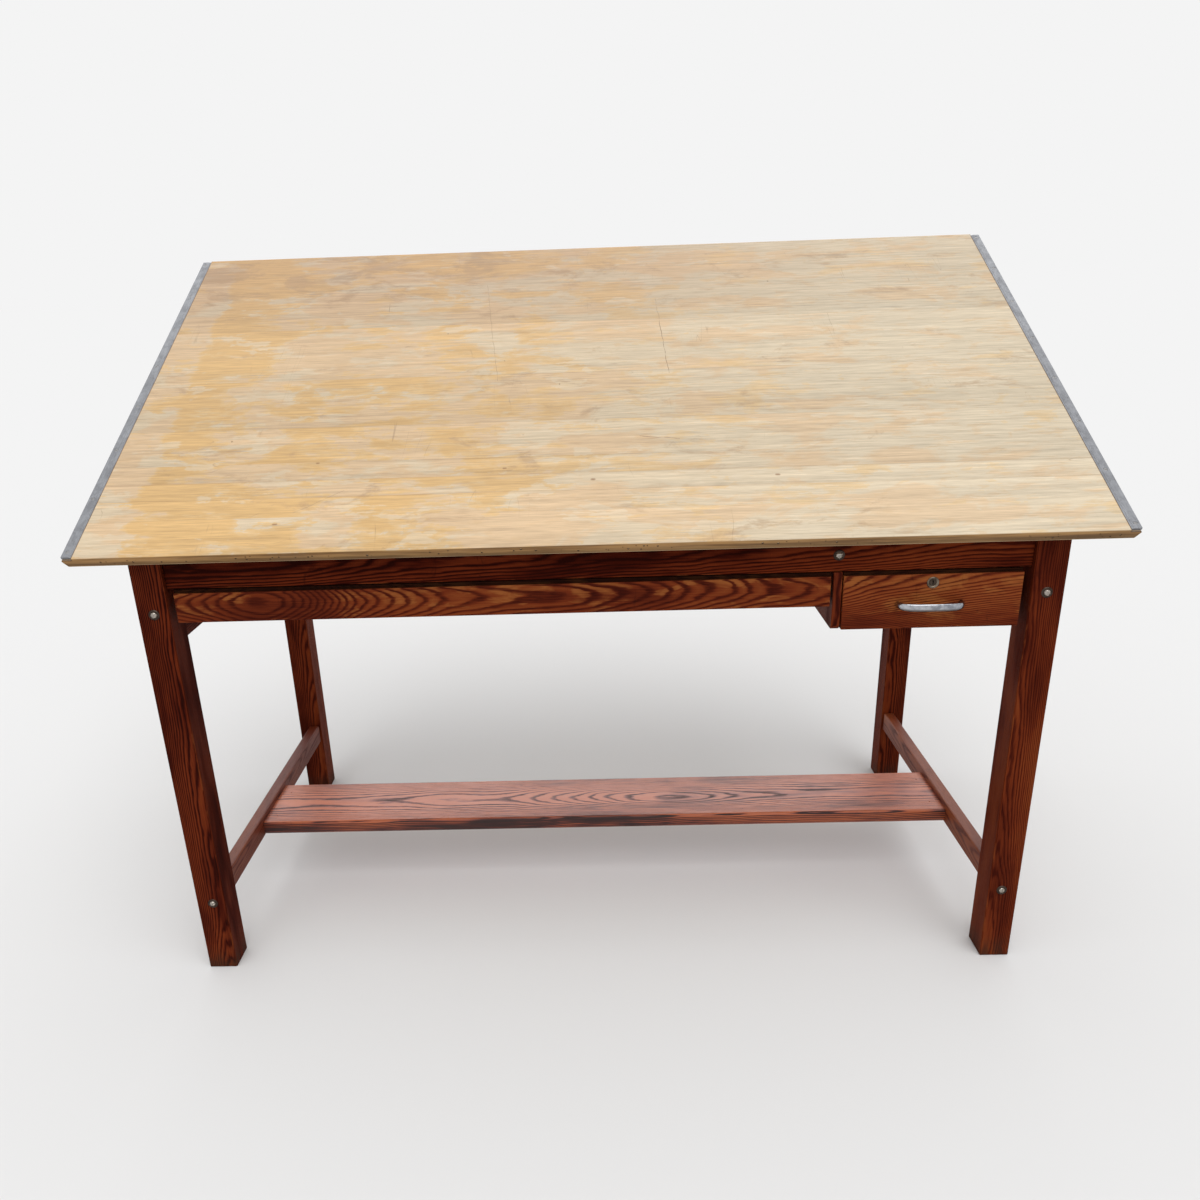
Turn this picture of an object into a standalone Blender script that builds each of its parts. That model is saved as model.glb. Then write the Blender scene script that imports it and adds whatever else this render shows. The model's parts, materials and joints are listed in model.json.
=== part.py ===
"""Four-post drafting table with a tilting board, a plan drawer and a lockable tool drawer.

Lengths in this file are millimetres in the table's own directions: x to the right, y from the front
faces of the front legs towards the back, z up from the floor. metres() turns them into the scene's
metres, with the origin under the middle of the bounding box.

The board turns on two butt hinges on the front rail. Two elevating rods hang from clevises under the
board and slide through swivelling clamp blocks on the side aprons. Each rod pin and each clamp pivot
are the same distance from the hinge axis, so rod and clamp always turn by half of the board's angle.
"""
import math

import bmesh
import bpy
from mathutils import Vector

MM = 0.001
GAP = 0.3                    # clearance between neighbouring solids
EASE = 1.6                   # rounding of sawn edges
SIDES = (("left", -1), ("right", 1))

# legs and frame
LEG = 57.0
LEG_OUTER_X = 817.0
LEG_TOP = 884.0
REAR_LEG_Y = 696.0
LEG_INNER_X = LEG_OUTER_X - LEG
FRAME_BACK_Y = REAR_LEG_Y + LEG
APRON_X = (763.0, 793.0)
APRON_Z = (713.0, LEG_TOP)
FRONT_RAIL_Y = (8.4, 34.4)
FRONT_RAIL_Z = (822.0, LEG_TOP)
REAR_RAIL_Y = (718.0, 744.0)
STRETCHER_X = (764.0, 790.0)
STRETCHER_Z = (151.0, 199.0)
FOOTBOARD_Y = (245.0, 409.0)
FOOTBOARD_Z = (154.0, 185.3)
PARTITION_X = (418.0, 433.0)
PARTITION_Z = (715.0, 872.0)
PARTITION_FRONT_Y = 5.0
PARTITION_NOSE = 8.0

# bolts
BOLT_SHANK_R = 3.5
CUP_WASHER_R = 10.0
BOLT_HOLE_R = BOLT_SHANK_R + GAP
UPPER_BOLT = (787.0, 777.0)
LOWER_BOLT = (785.0, 158.0)
LEG_BOLT_DEPTH = LEG + 38.0
RAIL_BOLT_Z = 852.0
RAIL_BOLT_DEPTH = 56.0

# board
BOARD_WIDTH = 1828.8
BOARD_DEPTH = 957.5
BOARD_THICK = 20.6
BOARD_TILT = math.radians(31.25)
BOARD_END_CUT = 6.5          # the lower part of each end slopes in by this much
BOARD_END_CUT_HEIGHT = 13.0
EDGE_STRIP_WIDTH = 18.0
EDGE_STRIP_THICK = 5.0
EDGE_STRIP_SHORT = 4.0       # the strip stops this far from the board's front and back edges
CLEAT_X = 300.0
CLEAT_SIZE = (60.0, 21.0)
CLEAT_FROM_HINGE = (60.0, 690.0)

# hinges: the board coordinates below are (x, distance behind the axis, height above the axis)
HINGE_Y = 4.0
HINGE_Z = LEG_TOP + 3.5
HINGE_X = 560.0
HINGE_LENGTH = 120.0
KNUCKLES = 5
BARREL_R = 3.2
HINGE_PIN_R = 1.6
LEAF_THICK = 2.5
LEAF_DEPTH = 30.0
BOARD_UNDERSIDE = 3.5
BOARD_OVERHANG = 27.0        # board in front of the hinge axis

# elevating gear
GEAR_X = 740.0
GEAR_RADIUS = 644.0          # hinge axis to rod pin, and hinge axis to clamp pivot
PIN_BELOW_AXIS_PLANE = 16.5
CLAMP_BELOW_AXIS = 69.6
ROD_R = 6.0
ROD_LENGTH = 567.0
ROD_PIN_R = 3.0
ROD_EYE_TOP = 8.0
COLLAR = (9.0, 8.0)
CLAMP_HALF_Y = 14.0
CLAMP_HALF_Z = 16.0
CLAMP_HALF_X = 17.7
PIVOT_R = 6.0
PIVOT_REACH = 9.4
SCREW_R = 4.0
CLEVIS_EAR_X = (7.0, 11.0)
CLEVIS_HALF_S = 9.0

# drawers
DRAWER_FACE_Y = 2.0
DRAWER_FRONT_THICK = 19.0
DRAWER_BACK_Y = 590.0
DRAWER_WALL = 12.0
DRAWER_BOTTOM_THICK = 5.0
RUNNER_HEIGHT = 10.0
RUNNER_END_Y = 600.0
GROOVE_DEPTH = 5.0
PLAN_FRONT = ((-747.0, 760.0), (413.0, 820.6))
PLAN_SIDES_X = (-740.0, 412.0)
PLAN_RUNNER_Z = 784.0
TOOL_FRONT = ((435.0, 715.5), (745.0, 820.6))
TOOL_SIDES_X = (440.0, 740.0)
TOOL_RUNNER_Z = 765.0

# lock and handle
LOCK_X = 589.0
LOCK_Z = 799.8
LOCK_R = 9.0
LOCK_FLANGE_R = 10.5
LOCK_PLUG_R = 6.0
LOCK_CAM_Y = (35.3, 37.3)
LOCK_CAM_REACH = 27.0
HANDLE_X = 586.0
HANDLE_Z = 762.0
HANDLE_HALF = 60.0
HANDLE_REACH = 28.0
HANDLE_R = 5.0
HANDLE_OVAL = 1.4            # the bow's height over its thickness

HALF_WIDTH = BOARD_WIDTH / 2.0
BOARD_TOP = BOARD_UNDERSIDE + BOARD_THICK
BOARD_BACK = BOARD_DEPTH - BOARD_OVERHANG
PIN_ANGLE = math.asin(PIN_BELOW_AXIS_PLANE / GEAR_RADIUS)
CLAMP_ANGLE = math.asin(CLAMP_BELOW_AXIS / GEAR_RADIUS)
ROD_LEAN = (BOARD_TILT - PIN_ANGLE - CLAMP_ANGLE) / 2.0


def tilted(distance, height):
    """A point given behind and above the hinge axis on the flat board, as (y, z) at the board's tilt."""
    cosine, sine = math.cos(BOARD_TILT), math.sin(BOARD_TILT)
    return HINGE_Y + distance * cosine - height * sine, HINGE_Z + distance * sine + height * cosine


FRONT_MOST_Y = tilted(-BOARD_OVERHANG, BOARD_TOP)[0]
BACK_MOST_Y = tilted(BOARD_BACK, BOARD_UNDERSIDE)[0]
MIDDLE_Y = (FRONT_MOST_Y + BACK_MOST_Y) / 2.0


def metres(x, y, z):
    return Vector((x * MM, (y - MIDDLE_Y) * MM, z * MM))


def make_material(name, colour, roughness, metallic):
    material = bpy.data.materials.new(name)
    material.use_nodes = True
    shader = material.node_tree.nodes["Principled BSDF"]
    shader.inputs["Base Color"].default_value = (*colour, 1.0)
    shader.inputs["Roughness"].default_value = roughness
    shader.inputs["Metallic"].default_value = metallic
    return material


def make_materials():
    return {
        "stained_oak": make_material("stained_oak", (0.15, 0.042, 0.016), 0.42, 0.0),
        "board_wood": make_material("board_wood", (0.58, 0.42, 0.24), 0.55, 0.0),
        "drawer_wood": make_material("drawer_wood", (0.42, 0.27, 0.14), 0.6, 0.0),
        "edge_steel": make_material("edge_steel", (0.33, 0.33, 0.33), 0.45, 1.0),
        "dark_steel": make_material("dark_steel", (0.14, 0.13, 0.12), 0.4, 1.0),
        "chrome": make_material("chrome", (0.75, 0.76, 0.78), 0.12, 1.0),
        "nickel": make_material("nickel", (0.45, 0.42, 0.36), 0.35, 1.0),
    }


def link(name, mesh, material, location, parent=None):
    piece = bpy.data.objects.new(name, mesh)
    bpy.context.collection.objects.link(piece)
    piece.location = location
    piece.parent = parent
    if material:
        mesh.materials.append(material)
    return piece


def empty(name, location, turn_x):
    holder = bpy.data.objects.new(name, None)
    bpy.context.collection.objects.link(holder)
    holder.location = location
    holder.rotation_euler = (turn_x, 0.0, 0.0)
    return holder


def ease_edges(piece, width=EASE, segments=2):
    bevel = piece.modifiers.new("eased_edges", "BEVEL")
    bevel.width = width * MM
    bevel.segments = segments
    bevel.limit_method = "ANGLE"
    bevel.angle_limit = math.radians(40.0)


def box_mesh(name, size):
    shape = bmesh.new()
    bmesh.ops.create_cube(shape, size=1.0)
    bmesh.ops.scale(shape, vec=Vector(size) * MM, verts=shape.verts)
    mesh = bpy.data.meshes.new(name)
    shape.to_mesh(mesh)
    shape.free()
    return mesh


def bar(name, x, y, z, material, ease=EASE):
    """A rectangular piece of the frame between the given x, y and z limits."""
    size = (x[1] - x[0], y[1] - y[0], z[1] - z[0])
    middle = metres((x[0] + x[1]) / 2.0, (y[0] + y[1]) / 2.0, (z[0] + z[1]) / 2.0)
    piece = link(name, box_mesh(name, size), material, middle)
    if ease:
        ease_edges(piece, ease)
    return piece


def block(name, x, y, z, material, parent):
    """A rectangular piece between limits measured from its parent's origin."""
    size = (x[1] - x[0], y[1] - y[0], z[1] - z[0])
    middle = Vector((x[0] + x[1], y[0] + y[1], z[0] + z[1])) * (MM / 2.0)
    return link(name, box_mesh(name, size), material, middle, parent)


def side_span(sign, near, far):
    """The x limits of a piece between two distances from the middle, on the left or the right."""
    return tuple(sorted((sign * near, sign * far)))


def prism_mesh(name, outline, axis, length):
    """A closed outline of (a, b) points extruded from 0 to length along the x or y axis."""
    spots = {"x": lambda a, b, c: (c, a, b), "y": lambda a, b, c: (a, c, b)}[axis]
    shape = bmesh.new()
    near = [shape.verts.new(Vector(spots(a, b, 0.0)) * MM) for a, b in outline]
    face = shape.faces.new(near)
    grown = bmesh.ops.extrude_face_region(shape, geom=[face])
    moved = [item for item in grown["geom"] if isinstance(item, bmesh.types.BMVert)]
    bmesh.ops.translate(shape, vec=Vector(spots(0.0, 0.0, length)) * MM, verts=moved)
    bmesh.ops.recalc_face_normals(shape, faces=shape.faces)
    mesh = bpy.data.meshes.new(name)
    shape.to_mesh(mesh)
    shape.free()
    return mesh


def turned_mesh(name, profile, axis, steps=20):
    """A profile of (radius, distance) points turned about an axis; it starts and ends at radius 0."""
    along = Vector(axis).normalized()
    across = along.orthogonal().normalized()
    other = along.cross(across)
    shape = bmesh.new()
    rings = []
    for radius, distance in profile:
        if radius == 0.0:
            rings.append([shape.verts.new(along * distance * MM)])
            continue
        ring = []
        for step in range(steps):
            angle = math.tau * step / steps
            spoke = across * math.cos(angle) + other * math.sin(angle)
            ring.append(shape.verts.new((along * distance + spoke * radius) * MM))
        rings.append(ring)
    for first, second in zip(rings, rings[1:]):
        for step in range(steps):
            after = (step + 1) % steps
            corners = [first[step % len(first)], first[after % len(first)]]
            corners += [second[after % len(second)], second[step % len(second)]]
            shape.faces.new(list(dict.fromkeys(corners)))
    bmesh.ops.recalc_face_normals(shape, faces=shape.faces)
    mesh = bpy.data.meshes.new(name)
    shape.to_mesh(mesh)
    shape.free()
    mesh.shade_smooth()
    mesh.set_sharp_from_angle(angle=math.radians(35.0))
    return mesh


def rod_mesh(name, radius, length, axis, start=0.0, steps=20):
    profile = [(0.0, start), (radius, start), (radius, start + length), (0.0, start + length)]
    return turned_mesh(name, profile, axis, steps)


def combine(piece, tool, operation):
    """Cut tool out of piece or join it to piece; the tool stays as a hidden guide."""
    tool.hide_render = True
    tool.display_type = "WIRE"
    change = piece.modifiers.new(operation.lower() + "_" + tool.name, "BOOLEAN")
    change.operation = operation
    change.solver = "EXACT"
    change.object = tool
    return piece


def drill(piece, name, start, axis, radius, depth, parent=None, steps=20):
    """A round hole that starts 2 mm outside the given point."""
    mesh = rod_mesh(name, radius, depth + 2.0, axis, -2.0, steps)
    return combine(piece, link(name, mesh, None, start, parent), "DIFFERENCE")


def make_leg(row, side, sign, material):
    y = 0.0 if row == "front" else REAR_LEG_Y
    leg = bar(f"leg_{row}_{side}", side_span(sign, LEG_INNER_X, LEG_OUTER_X), (y, y + LEG),
              (0.0, LEG_TOP), material, 2.4)
    for level, (x, z) in (("upper", UPPER_BOLT), ("lower", LOWER_BOLT)):
        start = metres(sign * x, y, z)
        drill(leg, f"cut_leg_{row}_{side}_{level}", start, (0, 1, 0), BOLT_HOLE_R, LEG + 2.0)


def bolt_profile(depth):
    """A slotted bolt's oval head in its cup washer, then its shank, from the outside inwards."""
    return [(0.0, -4.4), (2.6, -4.2), (4.8, -3.5), (6.2, -2.4), (8.0, -2.2), (CUP_WASHER_R, -1.1),
            (CUP_WASHER_R, -GAP), (BOLT_SHANK_R, -GAP), (BOLT_SHANK_R, depth), (0.0, depth)]


def make_bolt(name, x, y, z, inwards, depth, material):
    mesh = turned_mesh(name, bolt_profile(depth), (0, inwards, 0))
    return link(name, mesh, material, metres(x, y, z))


def make_leg_bolts(row, side, sign, material):
    y, inwards = (0.0, 1) if row == "front" else (FRAME_BACK_Y, -1)
    for level, (x, z) in (("upper", UPPER_BOLT), ("lower", LOWER_BOLT)):
        make_bolt(f"bolt_{row}_{side}_{level}", sign * x, y, z, inwards, LEG_BOLT_DEPTH, material)


def drill_ends(piece, name, x, z):
    """Bolt holes in both ends of an apron or a stretcher."""
    depth = LEG_BOLT_DEPTH - LEG + 1.0
    drill(piece, f"cut_{name}_front", metres(x, LEG + GAP, z), (0, 1, 0), BOLT_HOLE_R, depth)
    drill(piece, f"cut_{name}_rear", metres(x, REAR_LEG_Y - GAP, z), (0, -1, 0), BOLT_HOLE_R, depth)


def make_side_frame(side, sign, material):
    between = (LEG + GAP, REAR_LEG_Y - GAP)
    apron = bar(f"side_apron_{side}", side_span(sign, *APRON_X), between, APRON_Z, material)
    drill_ends(apron, f"apron_{side}", sign * UPPER_BOLT[0], UPPER_BOLT[1])
    stretcher = bar(f"stretcher_{side}", side_span(sign, *STRETCHER_X), between, STRETCHER_Z,
                    material, 3.0)
    drill_ends(stretcher, f"stretcher_{side}", sign * LOWER_BOLT[0], LOWER_BOLT[1])


def make_rails(material, steel):
    reach = LEG_INNER_X - GAP
    bolt_x = sum(PARTITION_X) / 2.0
    front = bar("front_rail", (-reach, reach), FRONT_RAIL_Y, FRONT_RAIL_Z, material)
    drill(front, "cut_front_rail", metres(bolt_x, FRONT_RAIL_Y[0], RAIL_BOLT_Z), (0, 1, 0),
          BOLT_HOLE_R, 40.0)
    make_bolt("bolt_front_rail", bolt_x, FRONT_RAIL_Y[0], RAIL_BOLT_Z, 1, RAIL_BOLT_DEPTH, steel)
    bar("rear_rail", (-reach, reach), REAR_RAIL_Y, APRON_Z, material)


def make_footboard(material):
    reach = STRETCHER_X[0] - GAP
    front, back = FOOTBOARD_Y
    low, high = FOOTBOARD_Z
    belly = 7.0
    outline = [(back, low), (back, high), (front, high)]
    for step in range(5):
        angle = math.pi + math.pi / 2.0 * step / 4.0
        outline.append((front + belly + belly * math.cos(angle), low + belly + belly * math.sin(angle)))
    outline = [(y - front, z - low) for y, z in outline]
    mesh = prism_mesh("footboard", outline, "x", 2.0 * reach)
    ease_edges(link("footboard", mesh, material, metres(-reach, front, low)), 2.2)


def make_partition(material):
    front, back = PARTITION_FRONT_Y, REAR_RAIL_Y[0] - GAP
    low, high = PARTITION_Z
    nose = PARTITION_NOSE
    behind_rail = FRONT_RAIL_Y[1] + GAP
    under_rail = FRONT_RAIL_Z[0] - GAP
    outline = [(back, low), (back, high), (behind_rail, high), (behind_rail, under_rail),
               (front, under_rail)]
    for step in range(5):
        angle = math.pi + math.pi / 2.0 * step / 4.0
        outline.append((front + nose + nose * math.cos(angle), low + nose + nose * math.sin(angle)))
    outline = [(y - front, z - low) for y, z in outline]
    mesh = prism_mesh("partition", outline, "x", PARTITION_X[1] - PARTITION_X[0])
    partition = link("partition", mesh, material, metres(PARTITION_X[0], front, low))
    ease_edges(partition, 1.0)
    start = metres(sum(PARTITION_X) / 2.0, behind_rail, RAIL_BOLT_Z)
    drill(partition, "cut_partition", start, (0, 1, 0), BOLT_HOLE_R, RAIL_BOLT_DEPTH - 20.0)


def make_board(hinge, wood, steel):
    """The glued-up panel, rebated at both ends for the steel edge strips."""
    strip_low = BOARD_TOP - EDGE_STRIP_THICK
    rebate_x = HALF_WIDTH - EDGE_STRIP_WIDTH - GAP
    right = [(HALF_WIDTH - BOARD_END_CUT, BOARD_UNDERSIDE),
             (HALF_WIDTH, BOARD_UNDERSIDE + BOARD_END_CUT_HEIGHT),
             (HALF_WIDTH, strip_low - GAP), (rebate_x, strip_low - GAP), (rebate_x, BOARD_TOP)]
    outline = right + [(-x, z) for x, z in reversed(right)]
    mesh = prism_mesh("board_panel", outline, "y", BOARD_DEPTH)
    panel = link("board_panel", mesh, wood, Vector((0.0, -BOARD_OVERHANG * MM, 0.0)), hinge)
    ease_edges(panel, 0.9, 1)
    along = (EDGE_STRIP_SHORT - BOARD_OVERHANG, BOARD_BACK - EDGE_STRIP_SHORT)
    for side, sign in SIDES:
        across = side_span(sign, HALF_WIDTH - EDGE_STRIP_WIDTH, HALF_WIDTH)
        strip = block(f"steel_edge_{side}", across, along, (strip_low, BOARD_TOP), steel, hinge)
        ease_edges(strip, 0.5, 1)


def make_cleat(hinge, side, sign, material):
    width, thick = CLEAT_SIZE
    across = (sign * CLEAT_X - width / 2.0, sign * CLEAT_X + width / 2.0)
    top = BOARD_UNDERSIDE - GAP
    cleat = block(f"board_cleat_{side}", across, CLEAT_FROM_HINGE, (top - thick, top), material, hinge)
    ease_edges(cleat, 3.0)


def make_leaf(name, holder, middle_x, turns, plate_height, material):
    """A hinge leaf: a plate behind the axis with its own knuckles, bored for the pin."""
    pitch = HINGE_LENGTH / KNUCKLES
    left = middle_x - HINGE_LENGTH / 2.0
    plate_front = BARREL_R + 0.6
    leaf = block(name, (left, left + HINGE_LENGTH), (plate_front, plate_front + LEAF_DEPTH),
                 plate_height, material, holder)
    for turn in turns:
        start = left + turn * pitch + GAP
        end = left + (turn + 1) * pitch - GAP
        tab = block(f"join_{name}_tab_{turn}", (start, end), (0.0, plate_front + 1.0), plate_height,
                    None, holder)
        combine(leaf, tab, "UNION")
        barrel = rod_mesh(f"join_{name}_barrel_{turn}", BARREL_R, end - start, (1, 0, 0))
        spot = Vector((start * MM, 0.0, 0.0))
        combine(leaf, link(barrel.name, barrel, None, spot, holder), "UNION")
    start = Vector((left * MM, 0.0, 0.0))
    drill(leaf, f"cut_{name}", start, (1, 0, 0), HINGE_PIN_R + GAP, HINGE_LENGTH + 2.0, holder)


def make_hinge(hinge, axis_holder, side, sign, material):
    above = (BOARD_UNDERSIDE - GAP - LEAF_THICK, BOARD_UNDERSIDE - GAP)
    below = (-above[1], -above[0])
    make_leaf(f"hinge_leaf_board_{side}", hinge, sign * HINGE_X, (1, 3), above, material)
    make_leaf(f"hinge_leaf_rail_{side}", axis_holder, sign * HINGE_X, (0, 2, 4), below, material)
    name = f"hinge_pin_{side}"
    left = sign * HINGE_X - HINGE_LENGTH / 2.0
    mesh = rod_mesh(name, HINGE_PIN_R, HINGE_LENGTH, (1, 0, 0), 0.0, 12)
    link(name, mesh, material, metres(left, HINGE_Y, HINGE_Z))


def make_clevis(hinge, side, sign, material):
    """The bracket under the board with the riveted pin that an elevating rod hangs on."""
    spot = Vector((sign * GEAR_X, GEAR_RADIUS * math.cos(PIN_ANGLE), -PIN_BELOW_AXIS_PLANE)) * MM
    holder = empty(f"clevis_place_{side}", spot, 0.0)
    holder.parent = hinge
    name = f"clevis_{side}"
    top = BOARD_UNDERSIDE + PIN_BELOW_AXIS_PLANE - GAP
    near, far = CLEVIS_EAR_X
    clevis = block(name, (-20.0, 20.0), (-20.0, 20.0), (top - LEAF_THICK, top), material, holder)
    for label, ear_x in (("in", (-far, -near)), ("out", (near, far))):
        ear = block(f"join_{name}_{label}", ear_x, (-CLEVIS_HALF_S, CLEVIS_HALF_S),
                    (-8.0, top - 1.0), None, holder)
        ease_edges(ear, 2.0)
        combine(clevis, ear, "UNION")
    pin = rod_mesh(f"join_{name}_pin", ROD_PIN_R, 2.0 * far + 3.0, (1, 0, 0), -far - 1.5)
    combine(clevis, link(pin.name, pin, None, Vector(), holder), "UNION")


def make_rod(side, sign, material):
    """An elevating rod with its pin hole and its end collar, hanging from the clevis pin."""
    y, z = tilted(GEAR_RADIUS * math.cos(PIN_ANGLE), -PIN_BELOW_AXIS_PLANE)
    holder = empty(f"rod_pivot_{side}", metres(sign * GEAR_X, y, z), ROD_LEAN)
    collar_r, collar_height = COLLAR
    profile = [(0.0, ROD_LENGTH), (collar_r, ROD_LENGTH), (collar_r, ROD_LENGTH - collar_height),
               (ROD_R, ROD_LENGTH - collar_height), (ROD_R, 2.0 - ROD_EYE_TOP),
               (ROD_R - 2.0, -ROD_EYE_TOP), (0.0, -ROD_EYE_TOP)]
    name = f"elevating_rod_{side}"
    rod = link(name, turned_mesh(name, profile, (0, 0, -1)), material, Vector(), holder)
    start = Vector((-ROD_R * MM, 0.0, 0.0))
    drill(rod, f"cut_{name}", start, (1, 0, 0), ROD_PIN_R + GAP, 2.0 * ROD_R + 2.0, holder)


def clamp_spot():
    depth = GEAR_RADIUS * math.cos(CLAMP_ANGLE)
    return HINGE_Y + depth, HINGE_Z - CLAMP_BELOW_AXIS


def make_clamp_bracket(side, sign, material):
    """The plate on the apron with the stud that a clamp block swivels on."""
    y, z = clamp_spot()
    name = f"clamp_bracket_{side}"
    plate_near = GEAR_X + CLAMP_HALF_X + 1.0
    plate_far = APRON_X[0] - GAP
    plate = bar(name, side_span(sign, plate_near, plate_far), (y - 24.0, y + 24.0),
                (z - 24.0, z + 24.0), material, 1.0)
    stud = rod_mesh(f"join_{name}", PIVOT_R - GAP, PIVOT_REACH + 3.0, (-sign, 0, 0), -2.0)
    combine(plate, link(stud.name, stud, None, metres(sign * plate_near, y, z)), "UNION")


def make_clamp(side, sign, material):
    """The swivelling block that the rod slides through, bored for rod, pivot stud and screw."""
    y, z = clamp_spot()
    holder = empty(f"clamp_pivot_{side}", metres(sign * GEAR_X, y, z), ROD_LEAN)
    name = f"clamp_block_{side}"
    clamp = block(name, (-CLAMP_HALF_X, CLAMP_HALF_X), (-CLAMP_HALF_Y, CLAMP_HALF_Y),
                  (-CLAMP_HALF_Z, CLAMP_HALF_Z), material, holder)
    ease_edges(clamp, 2.0)
    through = Vector((0.0, 0.0, -CLAMP_HALF_Z * MM))
    drill(clamp, f"cut_{name}_rod", through, (0, 0, 1), ROD_R + GAP, 2.0 * CLAMP_HALF_Z + 2.0, holder)
    outer_face = Vector((sign * CLAMP_HALF_X * MM, 0.0, 0.0))
    drill(clamp, f"cut_{name}_stud", outer_face, (-sign, 0, 0), PIVOT_R, PIVOT_REACH, holder)
    drill(clamp, f"cut_{name}_screw", -outer_face, (sign, 0, 0), SCREW_R + GAP,
          CLAMP_HALF_X - ROD_R + 2.0, holder)
    make_thumb_screw(holder, side, sign, material)


def make_thumb_screw(holder, side, sign, material):
    """The wing screw that grips the rod; it enters the block's inner face."""
    name = f"thumb_screw_{side}"
    tip = ROD_R + GAP + 0.2
    hub = CLAMP_HALF_X + 3.0
    head_end = hub + 14.0
    profile = [(0.0, tip), (SCREW_R, tip), (SCREW_R, hub), (7.0, hub), (5.5, head_end),
               (0.0, head_end)]
    mesh = turned_mesh(name, profile, (-sign, 0, 0))
    screw = link(name, mesh, material, Vector(), holder)
    wing_x = side_span(-sign, hub + 3.0, head_end + 6.0)
    wing = block(f"join_{name}", wing_x, (-21.0, 21.0), (-1.6, 1.6), None, holder)
    ease_edges(wing, 1.0)
    combine(screw, wing, "UNION")


def make_runner(name, x, z, material):
    bar(name, x, (LEG + GAP, RUNNER_END_Y), (z, z + RUNNER_HEIGHT), material, 0.0)


def make_drawer(kind, front, sides_x, runner_z, face_material, box_material):
    """A drawer: its front, two sides grooved for the runners, back and bottom."""
    (left, low), (right, high) = front
    face_back = DRAWER_FACE_Y + DRAWER_FRONT_THICK
    face = bar(f"{kind}_front", (left, right), (DRAWER_FACE_Y, face_back), (low, high), face_material)
    box_y = (face_back + GAP, DRAWER_BACK_Y)
    floor_z = (low + 2.0, low + 2.0 + DRAWER_BOTTOM_THICK)
    wall_z = (floor_z[1] + GAP, high - 8.6)
    bar(f"{kind}_bottom", sides_x, box_y, floor_z, box_material, 0.0)
    outer = {"left": sides_x[0], "right": sides_x[1]}
    for side, sign in SIDES:
        wall_x = tuple(sorted((outer[side], outer[side] - sign * DRAWER_WALL)))
        wall = bar(f"{kind}_side_{side}", wall_x, box_y, wall_z, box_material, 0.0)
        groove_x = tuple(sorted((outer[side] + sign * 2.0, outer[side] - sign * GROOVE_DEPTH)))
        groove = bar(f"cut_{kind}_{side}", groove_x, (face_back - 5.0, DRAWER_BACK_Y + 5.0),
                     (runner_z - 0.6, runner_z + RUNNER_HEIGHT + 0.6), None, 0.0)
        combine(wall, groove, "DIFFERENCE")
    inside_x = (sides_x[0] + DRAWER_WALL + GAP, sides_x[1] - DRAWER_WALL - GAP)
    bar(f"{kind}_back", inside_x, (DRAWER_BACK_Y - DRAWER_WALL, DRAWER_BACK_Y), wall_z,
        box_material, 0.0)
    return face


def make_plan_drawer(oak, inner):
    grip = GROOVE_DEPTH - 0.5
    z = PLAN_RUNNER_Z
    make_runner("plan_runner_left", (GAP - APRON_X[0], PLAN_SIDES_X[0] + grip), z, inner)
    make_runner("plan_runner_right", (PLAN_SIDES_X[1] - grip, PARTITION_X[0] - GAP), z, inner)
    make_drawer("plan_drawer", PLAN_FRONT, PLAN_SIDES_X, z, oak, inner)


def make_tool_drawer(oak, inner, nickel, chrome):
    grip = GROOVE_DEPTH - 0.5
    z = TOOL_RUNNER_Z
    make_runner("tool_runner_left", (PARTITION_X[1] + GAP, TOOL_SIDES_X[0] + grip), z, inner)
    make_runner("tool_runner_right", (TOOL_SIDES_X[1] - grip, APRON_X[0] - GAP), z, inner)
    face = make_drawer("tool_drawer", TOOL_FRONT, TOOL_SIDES_X, z, oak, inner)
    start = metres(LOCK_X, DRAWER_FACE_Y, LOCK_Z)
    drill(face, "cut_tool_drawer_lock", start, (0, 1, 0), LOCK_R + GAP, 30.0)
    make_lock(start, nickel)
    make_handle(chrome)


def make_lock(start, material):
    """The barrel in the drawer front, the plug that the key turns, and the cam behind the rail."""
    barrel_end = LOCK_CAM_Y[0] - DRAWER_FACE_Y - 1.0
    profile = [(0.0, -1.8), (LOCK_FLANGE_R - 1.0, -1.8), (LOCK_FLANGE_R, -1.0), (LOCK_FLANGE_R, -GAP),
               (LOCK_R, -GAP), (LOCK_R, barrel_end), (0.0, barrel_end)]
    barrel = link("lock_barrel", turned_mesh("lock_barrel", profile, (0, 1, 0), 24), material, start)
    drill(barrel, "cut_lock_barrel", start - Vector((0.0, 2.0 * MM, 0.0)), (0, 1, 0),
          LOCK_PLUG_R + GAP, barrel_end + 8.0)
    plug_end = LOCK_CAM_Y[0] - GAP - DRAWER_FACE_Y
    plug = rod_mesh("lock_plug", LOCK_PLUG_R, plug_end + 1.8, (0, 1, 0), -1.8, 24)
    link("lock_plug", plug, material, start)
    half = 6.0
    outline = [(LOCK_CAM_REACH, -half), (LOCK_CAM_REACH, half)]
    for step in range(9):
        angle = math.pi / 2.0 + math.pi * step / 8.0
        outline.append((half * math.cos(angle), half * math.sin(angle)))
    mesh = prism_mesh("lock_cam", outline, "y", LOCK_CAM_Y[1] - LOCK_CAM_Y[0])
    link("lock_cam", mesh, material, metres(LOCK_X, LOCK_CAM_Y[0], LOCK_Z))


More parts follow.
